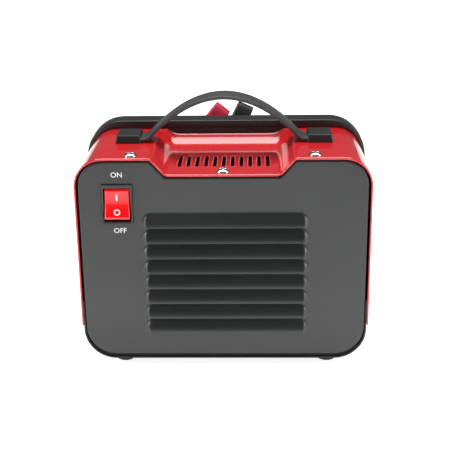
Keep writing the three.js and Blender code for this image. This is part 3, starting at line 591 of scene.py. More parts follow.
def coil_turns(total, hold):
    """The wound stretch as (angle, radius, height): in on the lower layer, out on the upper one.

    The lead comes in on the floor at the outer turn, shifts inward once a turn, climbs at the
    inner turn, shifts outward once a turn, and climbs onto the top at the end. Angles are in
    degrees from where it comes in; hold is how long the inner turn stays on the floor.
    """
    points = []
    count = round(total / 15)
    climb = 720 + hold
    for k in range(count + 1):
        angle = total * k / count
        inward = ease(angle, 240, 120) + ease(angle, 600, 120)
        outward = ease(angle, climb + 240, 120) + ease(angle, climb + 600, 120)
        onto = ease(angle, total - 150, 120)
        radius = COIL_RADIUS + COIL_PITCH * (1 - inward + outward - onto)
        top = LEAD_REST + LAYER
        height = LEAD_REST + LAYER * ease(angle, climb, 120)
        height += (COIL_REST - top) * ease(angle, total - 210, 110)
        points.append((angle, radius, height))
    return points


def wound(side, total, hold):
    """The coil's points; the electrode's coil, on the left, is a mirror image."""
    points = []
    for angle, radius, height in coil_turns(total, hold):
        turn = math.radians(angle)
        x = side * (COIL_X + radius * math.cos(turn))
        points.append((x, COIL_Y + radius * math.sin(turn), height))
    return points


def rod_curve(name, kind, count, radius, detail, paint):
    """A round rod drawn by a curve; its knots are still to be placed."""
    curve = bpy.data.curves.new(name, "CURVE")
    curve.dimensions = "3D"
    curve.bevel_depth = radius * MM
    curve.bevel_resolution = detail
    curve.use_fill_caps = True
    curve.materials.append(PAINT[paint])
    spline = curve.splines.new(kind)
    knots = spline.bezier_points if kind == "BEZIER" else spline.points
    knots.add(count - 1)
    return curve, knots


def make_lead(name, points, paint):
    """One lead along its points, out of its gland and into its clamp."""
    curve, knots = rod_curve(f"{name}_lead_cable", "BEZIER", len(points), LEAD_RADIUS, 4, paint)
    curve.resolution_u = 5
    for knot, place in zip(knots, points):
        knot.co = at(*place)
        knot.handle_left_type = "AUTO"
        knot.handle_right_type = "AUTO"
    lead = link(f"{name}_lead_cable", curve)
    settle(lead, paint, [f"{name}_lead", f"{name}_lead_coil", f"{name}_lead_rise"])
    at(*points[0])


def make_leads():
    """Both welding leads: out of a gland, round a coil, and up into the parked clamp's handle."""
    left = [(-x, y, z) for x, y, z in GLAND_ROUTE]
    make_lead("electrode", left + wound(-1, 1710, 40) + ELECTRODE_ROUTE[-2::-1], "lead_red")
    make_lead("earth", GLAND_ROUTE + wound(1, 1620, 60) + EARTH_ROUTE[::-1], "lead_black")


make_leads()


# ------------------------------------------------------------------ red cover
def back_rise(y):
    """How far the recess's floor has curved up towards the bezel at a place along the machine."""
    reach = min(max(y - RECESS_BACK, 0.0), RECESS_BACK_RADIUS)
    rise = RECESS_BACK_RADIUS - math.sqrt(RECESS_BACK_RADIUS ** 2 - reach ** 2)
    return min(rise, RECESS_BACK_RISE)


def back_inward(y):
    """How far the recess's walls have curved inwards there."""
    reach = min(max(y - RECESS_TURN, 0.0), RECESS_TURN_RADIUS - 1)
    return RECESS_TURN_RADIUS - math.sqrt(RECESS_TURN_RADIUS ** 2 - reach ** 2)


def recess_height(x, y):
    """Height of the cover's top face: two lobes with the pressed recess between them."""
    floor = TOP - RECESS_DEPTH + back_rise(y)
    wall = TOP - RECESS_DEPTH + (abs(x) - RECESS_HALF + back_inward(y)) * RECESS_SLOPE
    fillet = 2.4 + 0.5 * back_rise(y)
    return blend_min(blend_max(floor, wall, fillet), TOP, 1.6)


SLOT_STEPS = 8


def slot_cell(x):
    """A vent slot with round ends and the rectangle of floor round it, as matching outlines."""
    radius, reach = SLOT_WIDTH / 2, SLOT_PITCH / 2
    slot, cell = [], []
    for end, first in ((SLOT_SPAN[1] - radius, 0.0), (SLOT_SPAN[0] + radius, math.pi)):
        for k in range(SLOT_STEPS + 1):
            turn = first + math.pi * k / SLOT_STEPS
            a, b = math.cos(turn), math.sin(turn)
            grow = reach / max(abs(a), abs(b))
            slot.append((x + radius * a, end + radius * b))
            cell.append((x + grow * a, end + grow * b))
    return slot, cell


def fill_flat(outer, holes, lift):
    """Triangles over a flat outline with holes; lift turns an outline point into a place."""
    loops = [[Vector((a, b, 0.0)) for a, b in loop] for loop in [outer, *holes]]
    flat = [lift(*point) for loop in [outer, *holes] for point in loop]
    return flat, [tuple(face) for face in tessellate_polygon(loops)]


def merged(values):
    """Sorted values without near repeats."""
    kept = []
    for value in sorted(values):
        if not kept or value - kept[-1] > 0.01:
            kept.append(value)
    return kept


def top_cover():
    """The pressed red cover, its recess floor pierced by the row of slots."""
    edge = HALF - CORNER
    cells = [slot_cell((i - (SLOTS - 1) / 2) * SLOT_PITCH) for i in range(SLOTS)]
    cell_points = [point for _, cell in cells for point in cell]
    patch_half = max(x for x, _ in cell_points)
    patch_y = (min(y for _, y in cell_points), max(y for _, y in cell_points))
    xs = spread(-edge, -patch_half, 1.1) + [x for x, _ in cell_points]
    xs = merged(xs + spread(patch_half, edge, 1.1))
    ys = spread(0, patch_y[0], 4) + [y for _, y in cell_points]
    ys = merged(ys + spread(patch_y[1], RECESS_BACK, 4) + spread(RECESS_BACK, DEPTH, 0.8))

    arc = [math.radians(a) for a in range(0, 90, 5)]
    left = [(-HALF, z) for z in spread(SKIRT, TOP - CORNER, 6)[:-1]]
    left += [
        (-edge - CORNER * math.cos(a), TOP - CORNER + CORNER * math.sin(a)) for a in arc
    ]
    right = [(-x, z) for x, z in reversed(left)]
    verts = []
    width = len(left) + len(xs) + len(right)
    for y in ys:
        verts += [(x, y, z) for x, z in left]
        verts += [(x, y, recess_height(x, y)) for x in xs]
        verts += [(x, y, z) for x, z in right]
    faces = []
    for face in grid(width, len(ys)):
        a, b = verts[face[0]], verts[face[2]]
        across = a[0] >= -patch_half - 0.01 and b[0] <= patch_half + 0.01
        along = a[1] >= patch_y[0] - 0.01 and b[1] <= patch_y[1] + 0.01
        if not (across and along and a[2] < TOP - 5):
            faces.append(face)

    floor = TOP - RECESS_DEPTH
    for slot, cell in cells:
        join(verts, faces, bridge([[(x, y, floor) for x, y in loop] for loop in (cell, slot)]))
    thicken(add_piece("cover_shell", verts, faces, "red_paint", ["top_cover"]), SHEET)


top_cover()


# ------------------------------------------------------------------ base tray and feet
def base_tray():
    """The black steel tray: a floor with round lower corners and sides lapped in the skirts."""
    half = TRAY[1].x / MM
    arc = [math.radians(a) for a in range(0, 91, 5)]
    left = [(-half, z) for z in spread(TRAY_TOP, FLOOR + TRAY_CORNER, 6)[:-1]]
    left += [
        (-half + TRAY_CORNER * (1 - math.cos(a)), FLOOR + TRAY_CORNER * (1 - math.sin(a)))
        for a in arc
    ]
    section = left + [(-x, z) for x, z in reversed(left)]
    ys = spread(0, DEPTH, 12)
    verts = [(x, y, z) for y in ys for x, z in section]
    faces = grid(len(section), len(ys))
    thicken(add_piece("tray_shell", verts, faces, "black_paint", ["base_tray"]), SHEET)


base_tray()


def feet():
    """Domed rubber feet with a steel screw in a pocket underneath."""
    radius, pocket, bore = 8.8, 4.6, 2.3
    top = FLOOR - GAP
    profile = [(pocket, 0.0)]
    for k in range(9):
        turn = math.radians(90 * k / 8)
        profile.append((radius - 3.2 + 3.2 * math.sin(turn), 3.4 - 3.4 * math.cos(turn)))
    profile += [(radius, top - 0.5), (radius - 0.5, top), (bore, top), (bore, 3.6)]
    profile += [(pocket, 3.6), (pocket, 0.3), (pocket, 0.0)]
    head = [
        (0.4, 1.9), (0.9, 1.2), (2.8, 1.2), (3.9, 1.7), (3.9, 3.2), (2.0, 3.3), (2.0, 12.8),
        (1.4, 13.0), (0.3, 13.0),
    ]
    for end in ("rear", "front"):
        for side in ("left", "right"):
            name = f"{end}_{side}"
            x, y, _ = place_of(f"foot_{name}")
            foot = add_piece(
                f"rubber_foot_{name}", *lathe(profile, "z", (x, y, 0), 56), "rubber",
                [f"foot_{name}"],
            )
            round_edges(foot, 0.25)
            screw = add_piece(
                f"foot_bolt_{name}", *lathe(head, "z", (x, y, 0), 28), "steel",
                [f"foot_screw_{name}"],
            )
            round_edges(screw, 0.15)


feet()


# ------------------------------------------------------------------ rear panel
def notched(half, low, top, corners, notch, floor, segments=10):
    """The panel's outline in x and z, with the notch under the recess."""
    shoulder = notch + (top - floor) / RECESS_SLOPE
    lower, upper = corners
    return rounded([
        (-half, low, lower), (half, low, lower), (half, top, upper),
        (shoulder, top, 1.6), (notch, floor, 1.6), (-notch, floor, 1.6), (-shoulder, top, 1.6),
        (-half, top, upper),
    ], segments)


def notch_half(below):
    """Half width of the recess's floor on a surface the given depth below the cover's."""
    return RECESS_HALF + below * math.tan(math.atan(RECESS_SLOPE) / 2)


def panel_outline(inset):
    """The rear panel's outline, drawn in by the given amount."""
    drop = TOP - PANEL_TOP
    return notched(
        PANEL_HALF - inset, PANEL_LOW + inset, PANEL_TOP - inset,
        [corner - inset for corner in PANEL_CORNERS],
        notch_half(drop + inset), TOP - RECESS_DEPTH - drop - inset,
    )


LOUVRE_END = 65.6                            # half width over a louvre's round ends
LOUVRE_END_WIDTH = 9.5


def louvre_depth(x, rise):
    """How far a louvre stands out, at a place across it and a height above its lip."""
    t = rise / LOUVRE_HEIGHT
    if not 0 <= t < 1:
        return 0.0
    edge = LOUVRE_END - LOUVRE_END_WIDTH * (1 - math.sqrt(1 - t * t))
    inward = edge - abs(x)
    if inward <= 0:
        return 0.0
    plane = blend_min(LOUVRE_DEPTH * (1 - t) * 1.2, LOUVRE_DEPTH, 1.1)
    return max(blend_min(plane, inward, 1.3), 0.0)


def louvre_patch():
    """The louvred field of the rear panel: vertices, faces and the outline it fills."""
    half = 68.0
    ends = spread(LOUVRE_END - 14, half, 0.75)
    xs = [-x for x in reversed(ends)] + spread(-ends[0], ends[0], 12)[1:-1] + ends
    high = LOUVRE_TOP_LIP + LOUVRE_HEIGHT + 1.4
    low = LOUVRE_TOP_LIP - (LOUVRES - 1) * LOUVRE_PITCH - 3.0
    lips = [LOUVRE_TOP_LIP - i * LOUVRE_PITCH for i in range(LOUVRES)]
    verts, faces = [], []

    def band(z_rows, lip):
        base = len(verts)
        for z in z_rows:
            for x in xs:
                deep = louvre_depth(x, z - lip) if lip is not None else 0.0
                verts.append((LOUVRE_X + x, -deep, z))
        faces.extend(grid(len(xs), len(z_rows), base))

    tops = [high] + lips[:-1]
    for top, lip in zip(tops, lips):
        rows = spread(lip, lip + 2.4, 0.4)[:-1] + spread(lip + 2.4, lip + LOUVRE_HEIGHT, 0.75)
        rows += [top] if top - rows[-1] > 0.2 else []
        rows[-1] = top
        band(rows, lip)
    band(spread(low, lips[-1], 1.5), None)
    outline = [(-half, low), (half, low), (half, high), (-half, high)]
    return verts, faces, [(LOUVRE_X + x, z) for x, z in outline]


def rear_panel():
    """The pressed rear panel: a rolled flange round a flat face with the louvres and the switch."""
    roll, flat_in, steps = 1.6, 1.5, 6
    flange = (PANEL[1].y - REAR_Y) / MM
    face_line = panel_outline(roll + flat_in)
    rings = [[(x, 0, z) for x, z in face_line]]
    for k in range(steps + 1):
        turn = math.radians(90 * k / steps)
        outline = panel_outline(roll * (1 - math.sin(turn)))
        rings.append([(x, roll * (1 - math.cos(turn)), z) for x, z in outline])
    rings.append([(x, flange, z) for x, z in panel_outline(0)])
    verts, faces = bridge(rings)

    *patch, patch_outline = louvre_patch()
    join(verts, faces, patch)

    w, h = SWITCH_SIZE[0] / 2 - 1.4, SWITCH_SIZE[1] / 2 - 1.2
    hole = [
        (SWITCH_X - w, SWITCH_Z - h), (SWITCH_X + w, SWITCH_Z - h),
        (SWITCH_X + w, SWITCH_Z + h), (SWITCH_X - w, SWITCH_Z + h),
    ]
    join(verts, faces, fill_flat(face_line, [patch_outline, hole], lambda x, z: (x, 0, z)))
    panel = add_piece("rear_panel_sheet", verts, faces, "dark_paint", ["rear_panel"])
    thicken(panel, SHEET, even=False, rim=False)
    shading = panel.modifiers.new("shading", "WEIGHTED_NORMAL")
    shading.keep_sharp = True


rear_panel()


def edge_trim():
    """A black strip between the panel's lower edge and the tray, round its lower corners."""
    low, high = FLOOR + SHEET + GAP, (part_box("edge_trim")[1].z) / MM
    radius = PANEL_CORNERS[0]
    centre = (PANEL_HALF - radius, low + radius)
    inner_low = PANEL_LOW - GAP
    reach = math.acos((centre[1] - high) / radius)
    outer, inner = [], []
    for x in spread(0, centre[0], 8)[:-1]:
        outer.append((x, low))
        inner.append((x, inner_low))
    for turn in spread(0, reach, 0.06):
        outer.append((centre[0] + radius * math.sin(turn), centre[1] - radius * math.cos(turn)))
        rise = inner_low + radius + GAP
        inner.append((
            centre[0] + (radius + GAP) * math.sin(turn), rise - (radius + GAP) * math.cos(turn),
        ))
    outer = [(-x, z) for x, z in reversed(outer[1:])] + outer
    inner = [(-x, z) for x, z in reversed(inner[1:])] + inner
    loops = []
    loops = []
    for a, b in zip(outer, inner):
        loops.append([(a[0], y, a[1]) for y in (8.0, 1.4)] + [(b[0], y, b[1]) for y in (1.4, 8.0)])
    round_edges(add_piece("edge_trim_strip", *capped(loops), "rubber", ["edge_trim"]), 0.2)


edge_trim()


# ------------------------------------------------------------------ cover screws
def cover_screw(name):
    """A domed cross-head screw, with the cross sunk into its head."""
    node = f"cover_screw_{name}"
    x, y, _ = place_of(node)
    radius = radius_of(node)
    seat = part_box(node)[1].z / MM - 2.6
    size, sides = 20, 64
    rings = []
    for step in range(size + 1):
        r = radius * step / size
        ring = []
        for cos, sin in circle(sides):
            a, b = r * cos, r * sin
            dome = 0.5 + 2.1 * math.sqrt(max(1 - (r / radius) ** 2.2, 0))
            arm = min(abs(a), abs(b))
            reach = max(abs(a), abs(b))
            sunk = 1.5 * (1 - ease(arm, 0.35, 0.3)) * (1 - ease(reach, 2.1, 0.6))
            ring.append((x + a, y + b, seat + dome - sunk))
        rings.append(ring)
    for r, z in [(radius, 0.0), (2.2, 0.0), (2.0, -0.4), (2.0, -8.6), (1.2, -9.0)]:
        rings.append([(x + r * cos, y + r * sin, seat + z) for cos, sin in circle(sides)])
    verts, faces = bridge(rings)
    faces.append(tuple(range(len(verts) - sides, len(verts))))
    add_piece(f"dome_screw_{name}", verts, faces, "nickel", [node], sharp=50)


for screw_name in ("left", "right", "centre"):
    cover_screw(screw_name)


# ------------------------------------------------------------------ rocker switch
ROCKER_PIVOT_Y = 3.0
ROCKER_TILT = -9.0
ROCKER_HALF = (9.6, 11.9)


def frame_ring(x, z, sizes, depths, corner):
    """Rings of a rectangular moulding: (half width, half height) pairs at each depth."""
    rings = []
    for (w, h), y in zip(sizes, depths):
        outline = round_rect(w, -h, h, max(min(corner, w / 2, h / 2), 0.15), 5)
        rings.append([(x + a, y, z + b) for a, b in outline])
    return rings


def switch_housing():
    """The switch's moulded frame, with its mouth for the rocker and its body behind the panel."""
    w, h = SWITCH_SIZE[0] / 2, SWITCH_SIZE[1] / 2
    pw, ph = ROCKER_HALF[0] + 0.8, 13.4
    sizes = [
        (w, h), (w, h), (w - 0.35, h - 0.35), (w - 1.1, h - 1.1), (pw + 0.5, ph + 0.5),
        (pw, ph), (pw, ph),
    ]
    depths = [-GAP, -1.6, -2.1, -2.2, -1.9, -1.6, 12.0]
    rings = frame_ring(SWITCH_X, SWITCH_Z, sizes, depths, 1.2)
    verts, faces = bridge(rings)
    n = len(rings[0])
    faces.append(tuple(range(len(verts) - n, len(verts))))
    body = [(w - 1.8, h - 1.6), (w - 1.8, h - 1.6)]
    back = frame_ring(SWITCH_X, SWITCH_Z, body, [-GAP, 19.5], 0.6)
    join(verts, faces, bridge([rings[0], *back]))
    faces.append(tuple(range(len(verts) - n, len(verts))))
    add_piece("switch_frame", verts, faces, "black_plastic", ["switch_housing"], sharp=35)


def on_rocker(a, out, b):
    """A place on the rocker: a across, b up, and out towards the eye from its pivot."""
    turn = math.radians(ROCKER_TILT)
    y, z = -out, b
    return (
        SWITCH_X + a,
        ROCKER_PIVOT_Y + y * math.cos(turn) - z * math.sin(turn),
        SWITCH_Z + y * math.sin(turn) + z * math.cos(turn),
    )


def rocker_face(b):
    """How far the rocker's dished face stands from its pivot, at a height b on it."""
    return 5.25 + 1.15 * (abs(b) / ROCKER_HALF[1]) ** 1.6


def switch_rocker():
    """The rocker's lit lens: a dished face with soft edges, and its sides."""
    w, h = ROCKER_HALF
    columns = [-w, -w + 0.25] + spread(-w + 1.1, w - 1.1, 0.8) + [w - 0.25, w]
    rows = [-h, -h + 0.25] + spread(-h + 1.3, h - 1.3, 0.8) + [h - 0.25, h]
    verts = []
    for b in rows:
        for a in columns:
            edge = min(w - abs(a), h - abs(b))
            dip = 1.2 * (1 - min(edge / 1.2, 1.0)) ** 2
            verts.append(on_rocker(a, rocker_face(b) - dip * 0.8, b))
    cols = len(columns)
    faces = grid(cols, len(rows))
    rim = list(range(cols)) + [j * cols + cols - 1 for j in range(1, len(rows))]
    rim += list(range(len(rows) * cols - 2, (len(rows) - 1) * cols - 1, -1))
    rim += [j * cols for j in range(len(rows) - 2, 0, -1)]
    base = len(verts)
    for k in rim:
        j, i = divmod(k, cols)
        a, b = columns[i], rows[j]
        verts.append(on_rocker(a, 1.0 - 2.4 * (1 - abs(b) / h), b * 0.97))
    n = len(rim)
    for k in range(n):
        m = (k + 1) % n
        faces.append((rim[k], rim[m], base + m, base + k))
    faces.append(tuple(base + k for k in range(n)))
    add_piece(
        "rocker_lens", verts, faces, "switch_red", ["switch_rocker"], body="switch_rocker",
        sharp=35,
    )


def rocker_mark(name, outline, hole=()):
    """A raised white mark that follows the rocker's face."""
    lift = 0.06
    verts = [on_rocker(a, rocker_face(b) + lift, b) for a, b in [*outline, *hole]]
    n = len(outline)
    if hole:
        faces = [(k, (k + 1) % n, n + (k + 1) % n, n + k) for k in range(n)]
    else:
        faces = [(k, k + 1, n - 2 - k, n - 1 - k) for k in range(n // 2 - 1)]
    thicken(add_piece(name, verts, faces, "ink", body="switch_rocker"), 0.12)


def rocker_marks():
    """The bar for on and the ring for off."""
    rise, wide = (2.6, 7.6), 0.6
    steps = spread(*rise, 0.6)
    rocker_mark("mark_on", [(-wide, b) for b in steps] + [(wide, b) for b in reversed(steps)])
    centre, outer, inner = -6.3, 2.45, 1.55
    rocker_mark("mark_off", *(
        [(r * a, centre + r * b) for a, b in circle(40)] for r in (outer, inner)
    ))


def panel_word(text, x, z, height):
    """A short word printed on the rear panel."""
    curve = bpy.data.curves.new(f"word_{text.lower()}", "FONT")
    curve.body = text
    curve.size = height * MM / 0.69
    curve.align_x = "CENTER"
    curve.align_y = "CENTER"
    curve.extrude = 0.03 * MM
    curve.offset = 0.05 * MM
    curve.space_character = 1.02
    curve.materials.append(PAINT["ink"])
    word = link(f"word_{text.lower()}", curve)
    word.matrix_world = Matrix.Translation(at(x, -0.05, z)) @ Matrix.Rotation(
        math.pi / 2, 4, "X"
    )
    settle(word, "ink")


switch_housing()
switch_rocker()
rocker_marks()
panel_word("ON", -81.4, 163.4, 3.9)
panel_word("OFF", -80.4, 118.2, 3.9)


# ------------------------------------------------------------------ handle
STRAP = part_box("handle_strap")
STRAP_RISE = STRAP[1].z / MM
STRAP_BOW = 0.0087
STRAP_THICK = 2.8
STRAP_HALF = (STRAP[1].y - STRAP[0].y) / 2 / MM


def strap_line(x):
    """Height of the strap's upper face over the machine."""
    return blend_max(STRAP_RISE - STRAP_BOW * x * x, TOP + 0.9 + STRAP_THICK, 1.2)


def handle_strap():
    """An arched flat strap with rounded edges, its ends laid flat under the blocks."""
    end = STRAP[1].x / MM
    xs = spread(-end, end, 2.2)
    section = []
    w, t, edge = STRAP_HALF, STRAP_THICK, 0.9
    corners = [(-w, 0, edge), (w, 0, edge), (w, -t, edge), (-w, -t, edge)]
    for a, b in rounded(corners, 5):
        crown = 0.25 * (1 - (a / w) ** 2) if b > -t / 2 else 0.0
        section.append((a, b + crown - 0.25))
    rings = []
    for x in xs:
        slope = (strap_line(x + 0.5) - strap_line(x - 0.5))
        length = math.hypot(1, slope)
        ring = []
        for a, b in section:
            ring.append((
                x - b * slope / length, BLOCK_Y + a, max(strap_line(x) + b / length, TOP + 0.6),
            ))
        rings.append(ring)
    add_piece("carry_strap", *capped(rings), "strap_plastic", ["handle_strap"], sharp=50)


def handle_block(side):
    """A moulded cap over one end of the strap, with a mouth on its inner side."""
    name = "left" if side < 0 else "right"
    low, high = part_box(f"handle_block_{name}")
    w = (high.x - low.x) / 2 / MM
    l = (high.y - low.y) / 2 / MM
    base, top = low.z / MM, high.z / MM
    mouth = TOP + 0.9 + STRAP_THICK + GAP
    cx = side * BLOCK_X
    sizes = [
        (w, l, base), (w, l, base + 0.5), (w - 0.75, l - 0.8, top - 0.8),
        (w - 0.95, l - 1.0, top - 0.25), (w - 1.4, l - 1.5, top),
    ]
    rings = []
    for a, b, z in sizes:
        outline = round_rect(a, -b, b, 1.1, 5)
        rings.append([(cx + p, BLOCK_Y + q, z) for p, q in outline])
    block = add_piece(
        f"handle_cap_{name}", *capped(rings), "black_plastic", [f"handle_block_{name}"],
    )
    inner = cx - side * (w + 2)
    outer = side * ((STRAP[1].x / MM) + GAP)
    x0, x1 = min(inner, outer), max(inner, outer)
    y0, y1 = BLOCK_Y - STRAP_HALF - GAP, BLOCK_Y + STRAP_HALF + GAP
    cut_boxes(block, [(x0, x1, y0, y1, TOP - 1, mouth)])
    round_edges(block, 0.2, angle=50)


handle_strap()
for block_side in (-1, 1):
    handle_block(block_side)


# ------------------------------------------------------------------ front bezel and panel
def front_bezel():
    """The moulded ring round the front: a flat band on top, a dark rear face, a flared mouth."""
    half = BEZEL[1].x / MM
    top, low = BEZEL[1].z / MM, BEZEL[0].z / MM
    rear = (BEZEL[0].y - REAR_Y) / MM
    radius = 31.0
    shell = HALF + GAP
    window = 101.0
    inner_low, inner_top, inner_radius = 22.0, 164.0, 25.0

    def outer_ring(inset, y):
        return [(x, y, z) for x, z in round_rect(
            half - inset, low + inset, top - inset, radius - inset, 12)]

    def shell_ring(inset, y):
        return [(x, y, z) for x, z in round_rect(
            shell - inset, FLOOR - GAP + inset, TOP + GAP - inset,
            TRAY_CORNER + 1.8 - inset, 12, CORNER + GAP - inset)]

    def window_ring(grow, y):
        return [(x, y, z) for x, z in round_rect(
            window + grow, inner_low - grow, inner_top + grow, inner_radius + grow, 12)]

    rings = [
        shell_ring(0, rear + 0.2), shell_ring(-0.3, rear),
        outer_ring(0.8, rear), outer_ring(0.2, rear + 0.3), outer_ring(0, rear + 1.0),
        outer_ring(0, BEZEL_FRONT - 5), outer_ring(0.5, BEZEL_FRONT - 2.8),
        outer_ring(1.6, BEZEL_FRONT - 1.1), outer_ring(3.2, BEZEL_FRONT - 0.2),
        outer_ring(4.6, BEZEL_FRONT),
        window_ring(8.5, BEZEL_FRONT), window_ring(7.2, BEZEL_FRONT - 0.5),
        window_ring(6.2, BEZEL_FRONT - 1.8), window_ring(0.6, FRONT + 3.5),
        window_ring(0.0, FRONT + 2.6), window_ring(0.0, FRONT + GAP),
        shell_ring(0, FRONT + GAP),
    ]
    verts, faces = bridge(rings, closed_section=True)
    add_piece("bezel_ring", verts, faces, "black_plastic", ["front_bezel"], sharp=50)

    xs = spread(-57, 57, 1.0)
    lower = [(x, recess_height(x, rear) + GAP) for x in xs]
    lower = [(x, z) for x, z in lower if z < TOP + 0.2]
    verts = [(x, y, z) for y in (rear, FRONT - 2.1) for x, z in lower]
    verts += [(x, y, TOP + 0.6) for y in (rear, FRONT - 2.1) for x, _ in lower]
    n = len(lower)
    faces = []
    for k in range(n - 1):
        for a, b in ((0, 2 * n), (3 * n, n), (n, 0), (2 * n, 3 * n)):
            faces.append((a + k, a + k + 1, b + k + 1, b + k))
    add_piece(
        "bezel_closure", verts, faces, "black_plastic", ["front_bezel"], smooth=False,
    )


front_bezel()


def front_panel():
    """The front sheet, with holes for the knob's shaft, the lamps and the glands."""
    outline = round_rect(
        HALF - GAP, FLOOR + GAP, TOP - GAP, TRAY_CORNER + 1.2, 12, CORNER - GAP,
    )
    rounds = [(KNOB_X, KNOB_Z, 4.2)]
    for node, radius in (
        ("power_lamp", 3.5), ("fault_lamp", 3.5), ("electrode_lead_gland", 7.3),
        ("earth_lead_gland", 7.3), ("mains_gland", 7.3),
    ):
        x, _, z = place_of(node)
        rounds.append((x, z, radius))
    holes = [[(x + r * a, z + r * b) for a, b in circle(40)] for x, z, r in rounds]
    verts, faces = fill_flat(outline, holes, lambda x, z: (x, FRONT, z))
    panel = add_piece("front_sheet", verts, faces, "dark_paint", ["front_panel"], smooth=False)
    for face in panel.data.polygons:
        if face.normal.y < 0:
            panel.data.flip_normals()
            break
    thicken(panel, 1.8)


front_panel()


def dial_marks():
    """Printed scale round the current knob: long and short ticks over its 270 degrees."""
    verts, faces = [], []
    count = 10
    for k in range(count + 1):
        turn = math.radians(-135 + 270 * k / count)
        long = k % 5 == 0
        r0, r1, half = 18.4, 21.8 if long else 20.6, 0.45 if long else 0.3
        base = len(verts)
        for r, side in ((r0, -half), (r0, half), (r1, half), (r1, -half)):
            x = KNOB_X - r * math.sin(turn) - side * math.cos(turn)
            z = KNOB_Z + r * math.cos(turn) - side * math.sin(turn)
            verts.append((x, FRONT + 0.04, z))
        faces.append((base, base + 1, base + 2, base + 3))
    thicken(add_piece("dial_ticks", verts, faces, "ink", smooth=False), 0.06, offset=0)


dial_marks()


def current_knob():
    """A ribbed knob with a skirt and a white pointer line."""
    ribs, sides = 24, 192
    profile = [
        (3.3, 1.0), (15.2, 1.0), (15.8, 1.3), (16.0, 1.8), (16.0, 3.4), (15.6, 4.1), (13.6, 5.0),
        (12.9, 5.6), (12.6, 6.4), (11.9, 12.8), (11.5, 13.8), (10.6, 14.6), (9.4, 15.0),
        (8.6, 14.9), (8.2, 14.5), (0.4, 14.5),
    ]
    rings = []
    for radius, along in profile:
        ring = []
        for k, (cos, sin) in enumerate(circle(sides)):
            r = radius
            if 6 <= along <= 14 and radius > 10:
                wave = 0.5 + 0.5 * math.cos(ribs * 2 * math.pi * k / sides)
                r -= 0.9 * wave ** 3
            ring.append((KNOB_X + r * cos, FRONT + along, KNOB_Z + r * sin))
        rings.append(ring)
    verts, faces = bridge(rings)
    faces.append(tuple(range(len(verts) - sides, len(verts))))
    add_piece(
        "knob_body", verts, faces, "black_plastic", ["current_knob"], body="current_knob",
        sharp=45,
    )
    w = 0.55
    line = [(KNOB_X - w, 3.0), (KNOB_X + w, 3.0), (KNOB_X + w, 8.0), (KNOB_X - w, 8.0)]
    verts = [(x, FRONT + 14.56, KNOB_Z + z) for x, z in line]
    skirt = [(-w, 12.8, 5.45), (w, 12.8, 5.45), (w, 15.3, 4.3), (-w, 15.3, 4.3)]
    verts += [(KNOB_X + x, FRONT + y, KNOB_Z + z) for x, z, y in skirt]
    pointer = add_piece(
        "knob_pointer", verts, [(0, 1, 2, 3), (4, 5, 6, 7)], "ink", body="current_knob",
        smooth=False,
    )
    thicken(pointer, 0.1, offset=0)


current_knob()


def lamps():
    """Domed lamp lenses, each in a thin bright rim."""
    for node, paint in (("power_lamp", "lamp_green"), ("fault_lamp", "lamp_amber")):
        x, _, z = place_of(node)
        radius = radius_of(node)
        profile = [(0.3, -8.0), (3.0, -8.0), (3.2, -7.6), (3.2, 0.3), (radius, 0.3)]
        profile += [(radius, 0.9), (radius - 0.5, 1.2)]
        for k in range(1, 9):
            turn = math.radians(90 * k / 8)
            profile.append((max((radius - 0.5) * math.cos(turn), 0.15),
                            1.2 + 2.5 * math.sin(turn)))
        add_piece(
            f"lens_{node}", *lathe(profile, "y", (x, FRONT, z), 40), paint, [node], sharp=40,
        )


lamps()


def cable_gland(node):
    """A strain relief: a flanged nut and a tapered ribbed sleeve round the lead."""
    x, _, z = place_of(node)
    radius = radius_of(node)
    bore = 3.9
    profile = [
        (bore, -8.0), (radius - 2.4, -8.0), (radius - 2, -7.6), (radius - 2, 0.3), (radius, 0.3),
        (radius, 0.9), (radius, 5.2), (radius - 0.5, 5.9), (radius - 1.2, 6.2),
    ]
    ribs = 3
    for k in range(ribs):
        y = 7.0 + 2.2 * k
        r = radius - 1.4 - 0.9 * k
        profile += [(r - 0.7, y - 0.5), (r, y), (r, y + 0.9), (r - 0.7, y + 1.3)]
    profile += [(4.9, 13.4), (4.6, 13.9), (bore + 0.1, 14.0), (bore, 13.6), (bore, -8.0)]
    add_piece(
        f"relief_{node}", *lathe(profile, "y", (x, FRONT, z), 48), "black_plastic", [node],
        sharp=40,
    )


for gland_node in ("electrode_lead_gland", "earth_lead_gland", "mains_gland"):
    cable_gland(gland_node)


def parking_bar():
    """The bent rod across the bezel that the clamps bite on."""
    half, bend = 62.0, 7.0
    points = [(-half, BEZEL_FRONT + GAP)]
    for k in range(9):
        turn = math.radians(90 * k / 8)
        points.append((
            -half + bend - bend * math.cos(turn), BAR_Y - bend + bend * math.sin(turn),
        ))
    points += [(-x, y) for x, y in reversed(points)]
    curve, knots = rod_curve("clamp_rail", "POLY", len(points), 2.5, 5, "nickel")
    for knot, (x, y) in zip(knots, points):
        knot.co = (*at(x, y, BAR_Z), 1)
    settle(link("clamp_rail", curve), "nickel", ["parking_bar"])


parking_bar()


# ------------------------------------------------------------------ parked clamps
CLAMP_HALF = 7.0
CLAMP_PIVOT = -27.0
CLAMP_EAR = 6.0
CLAMP_PIN = 2.2


def clamp_frame(x, lean):
    """Turns a clamp's own axes (across, out, along to its nose) into the machine's."""
    turn = Matrix.Rotation(math.radians(lean), 3, "Y")

    def place(a, b, c):
        spot = turn @ Vector((a, b, c))
        return (x + spot.x, BAR_Y + spot.y, BAR_Z + spot.z)

    return place


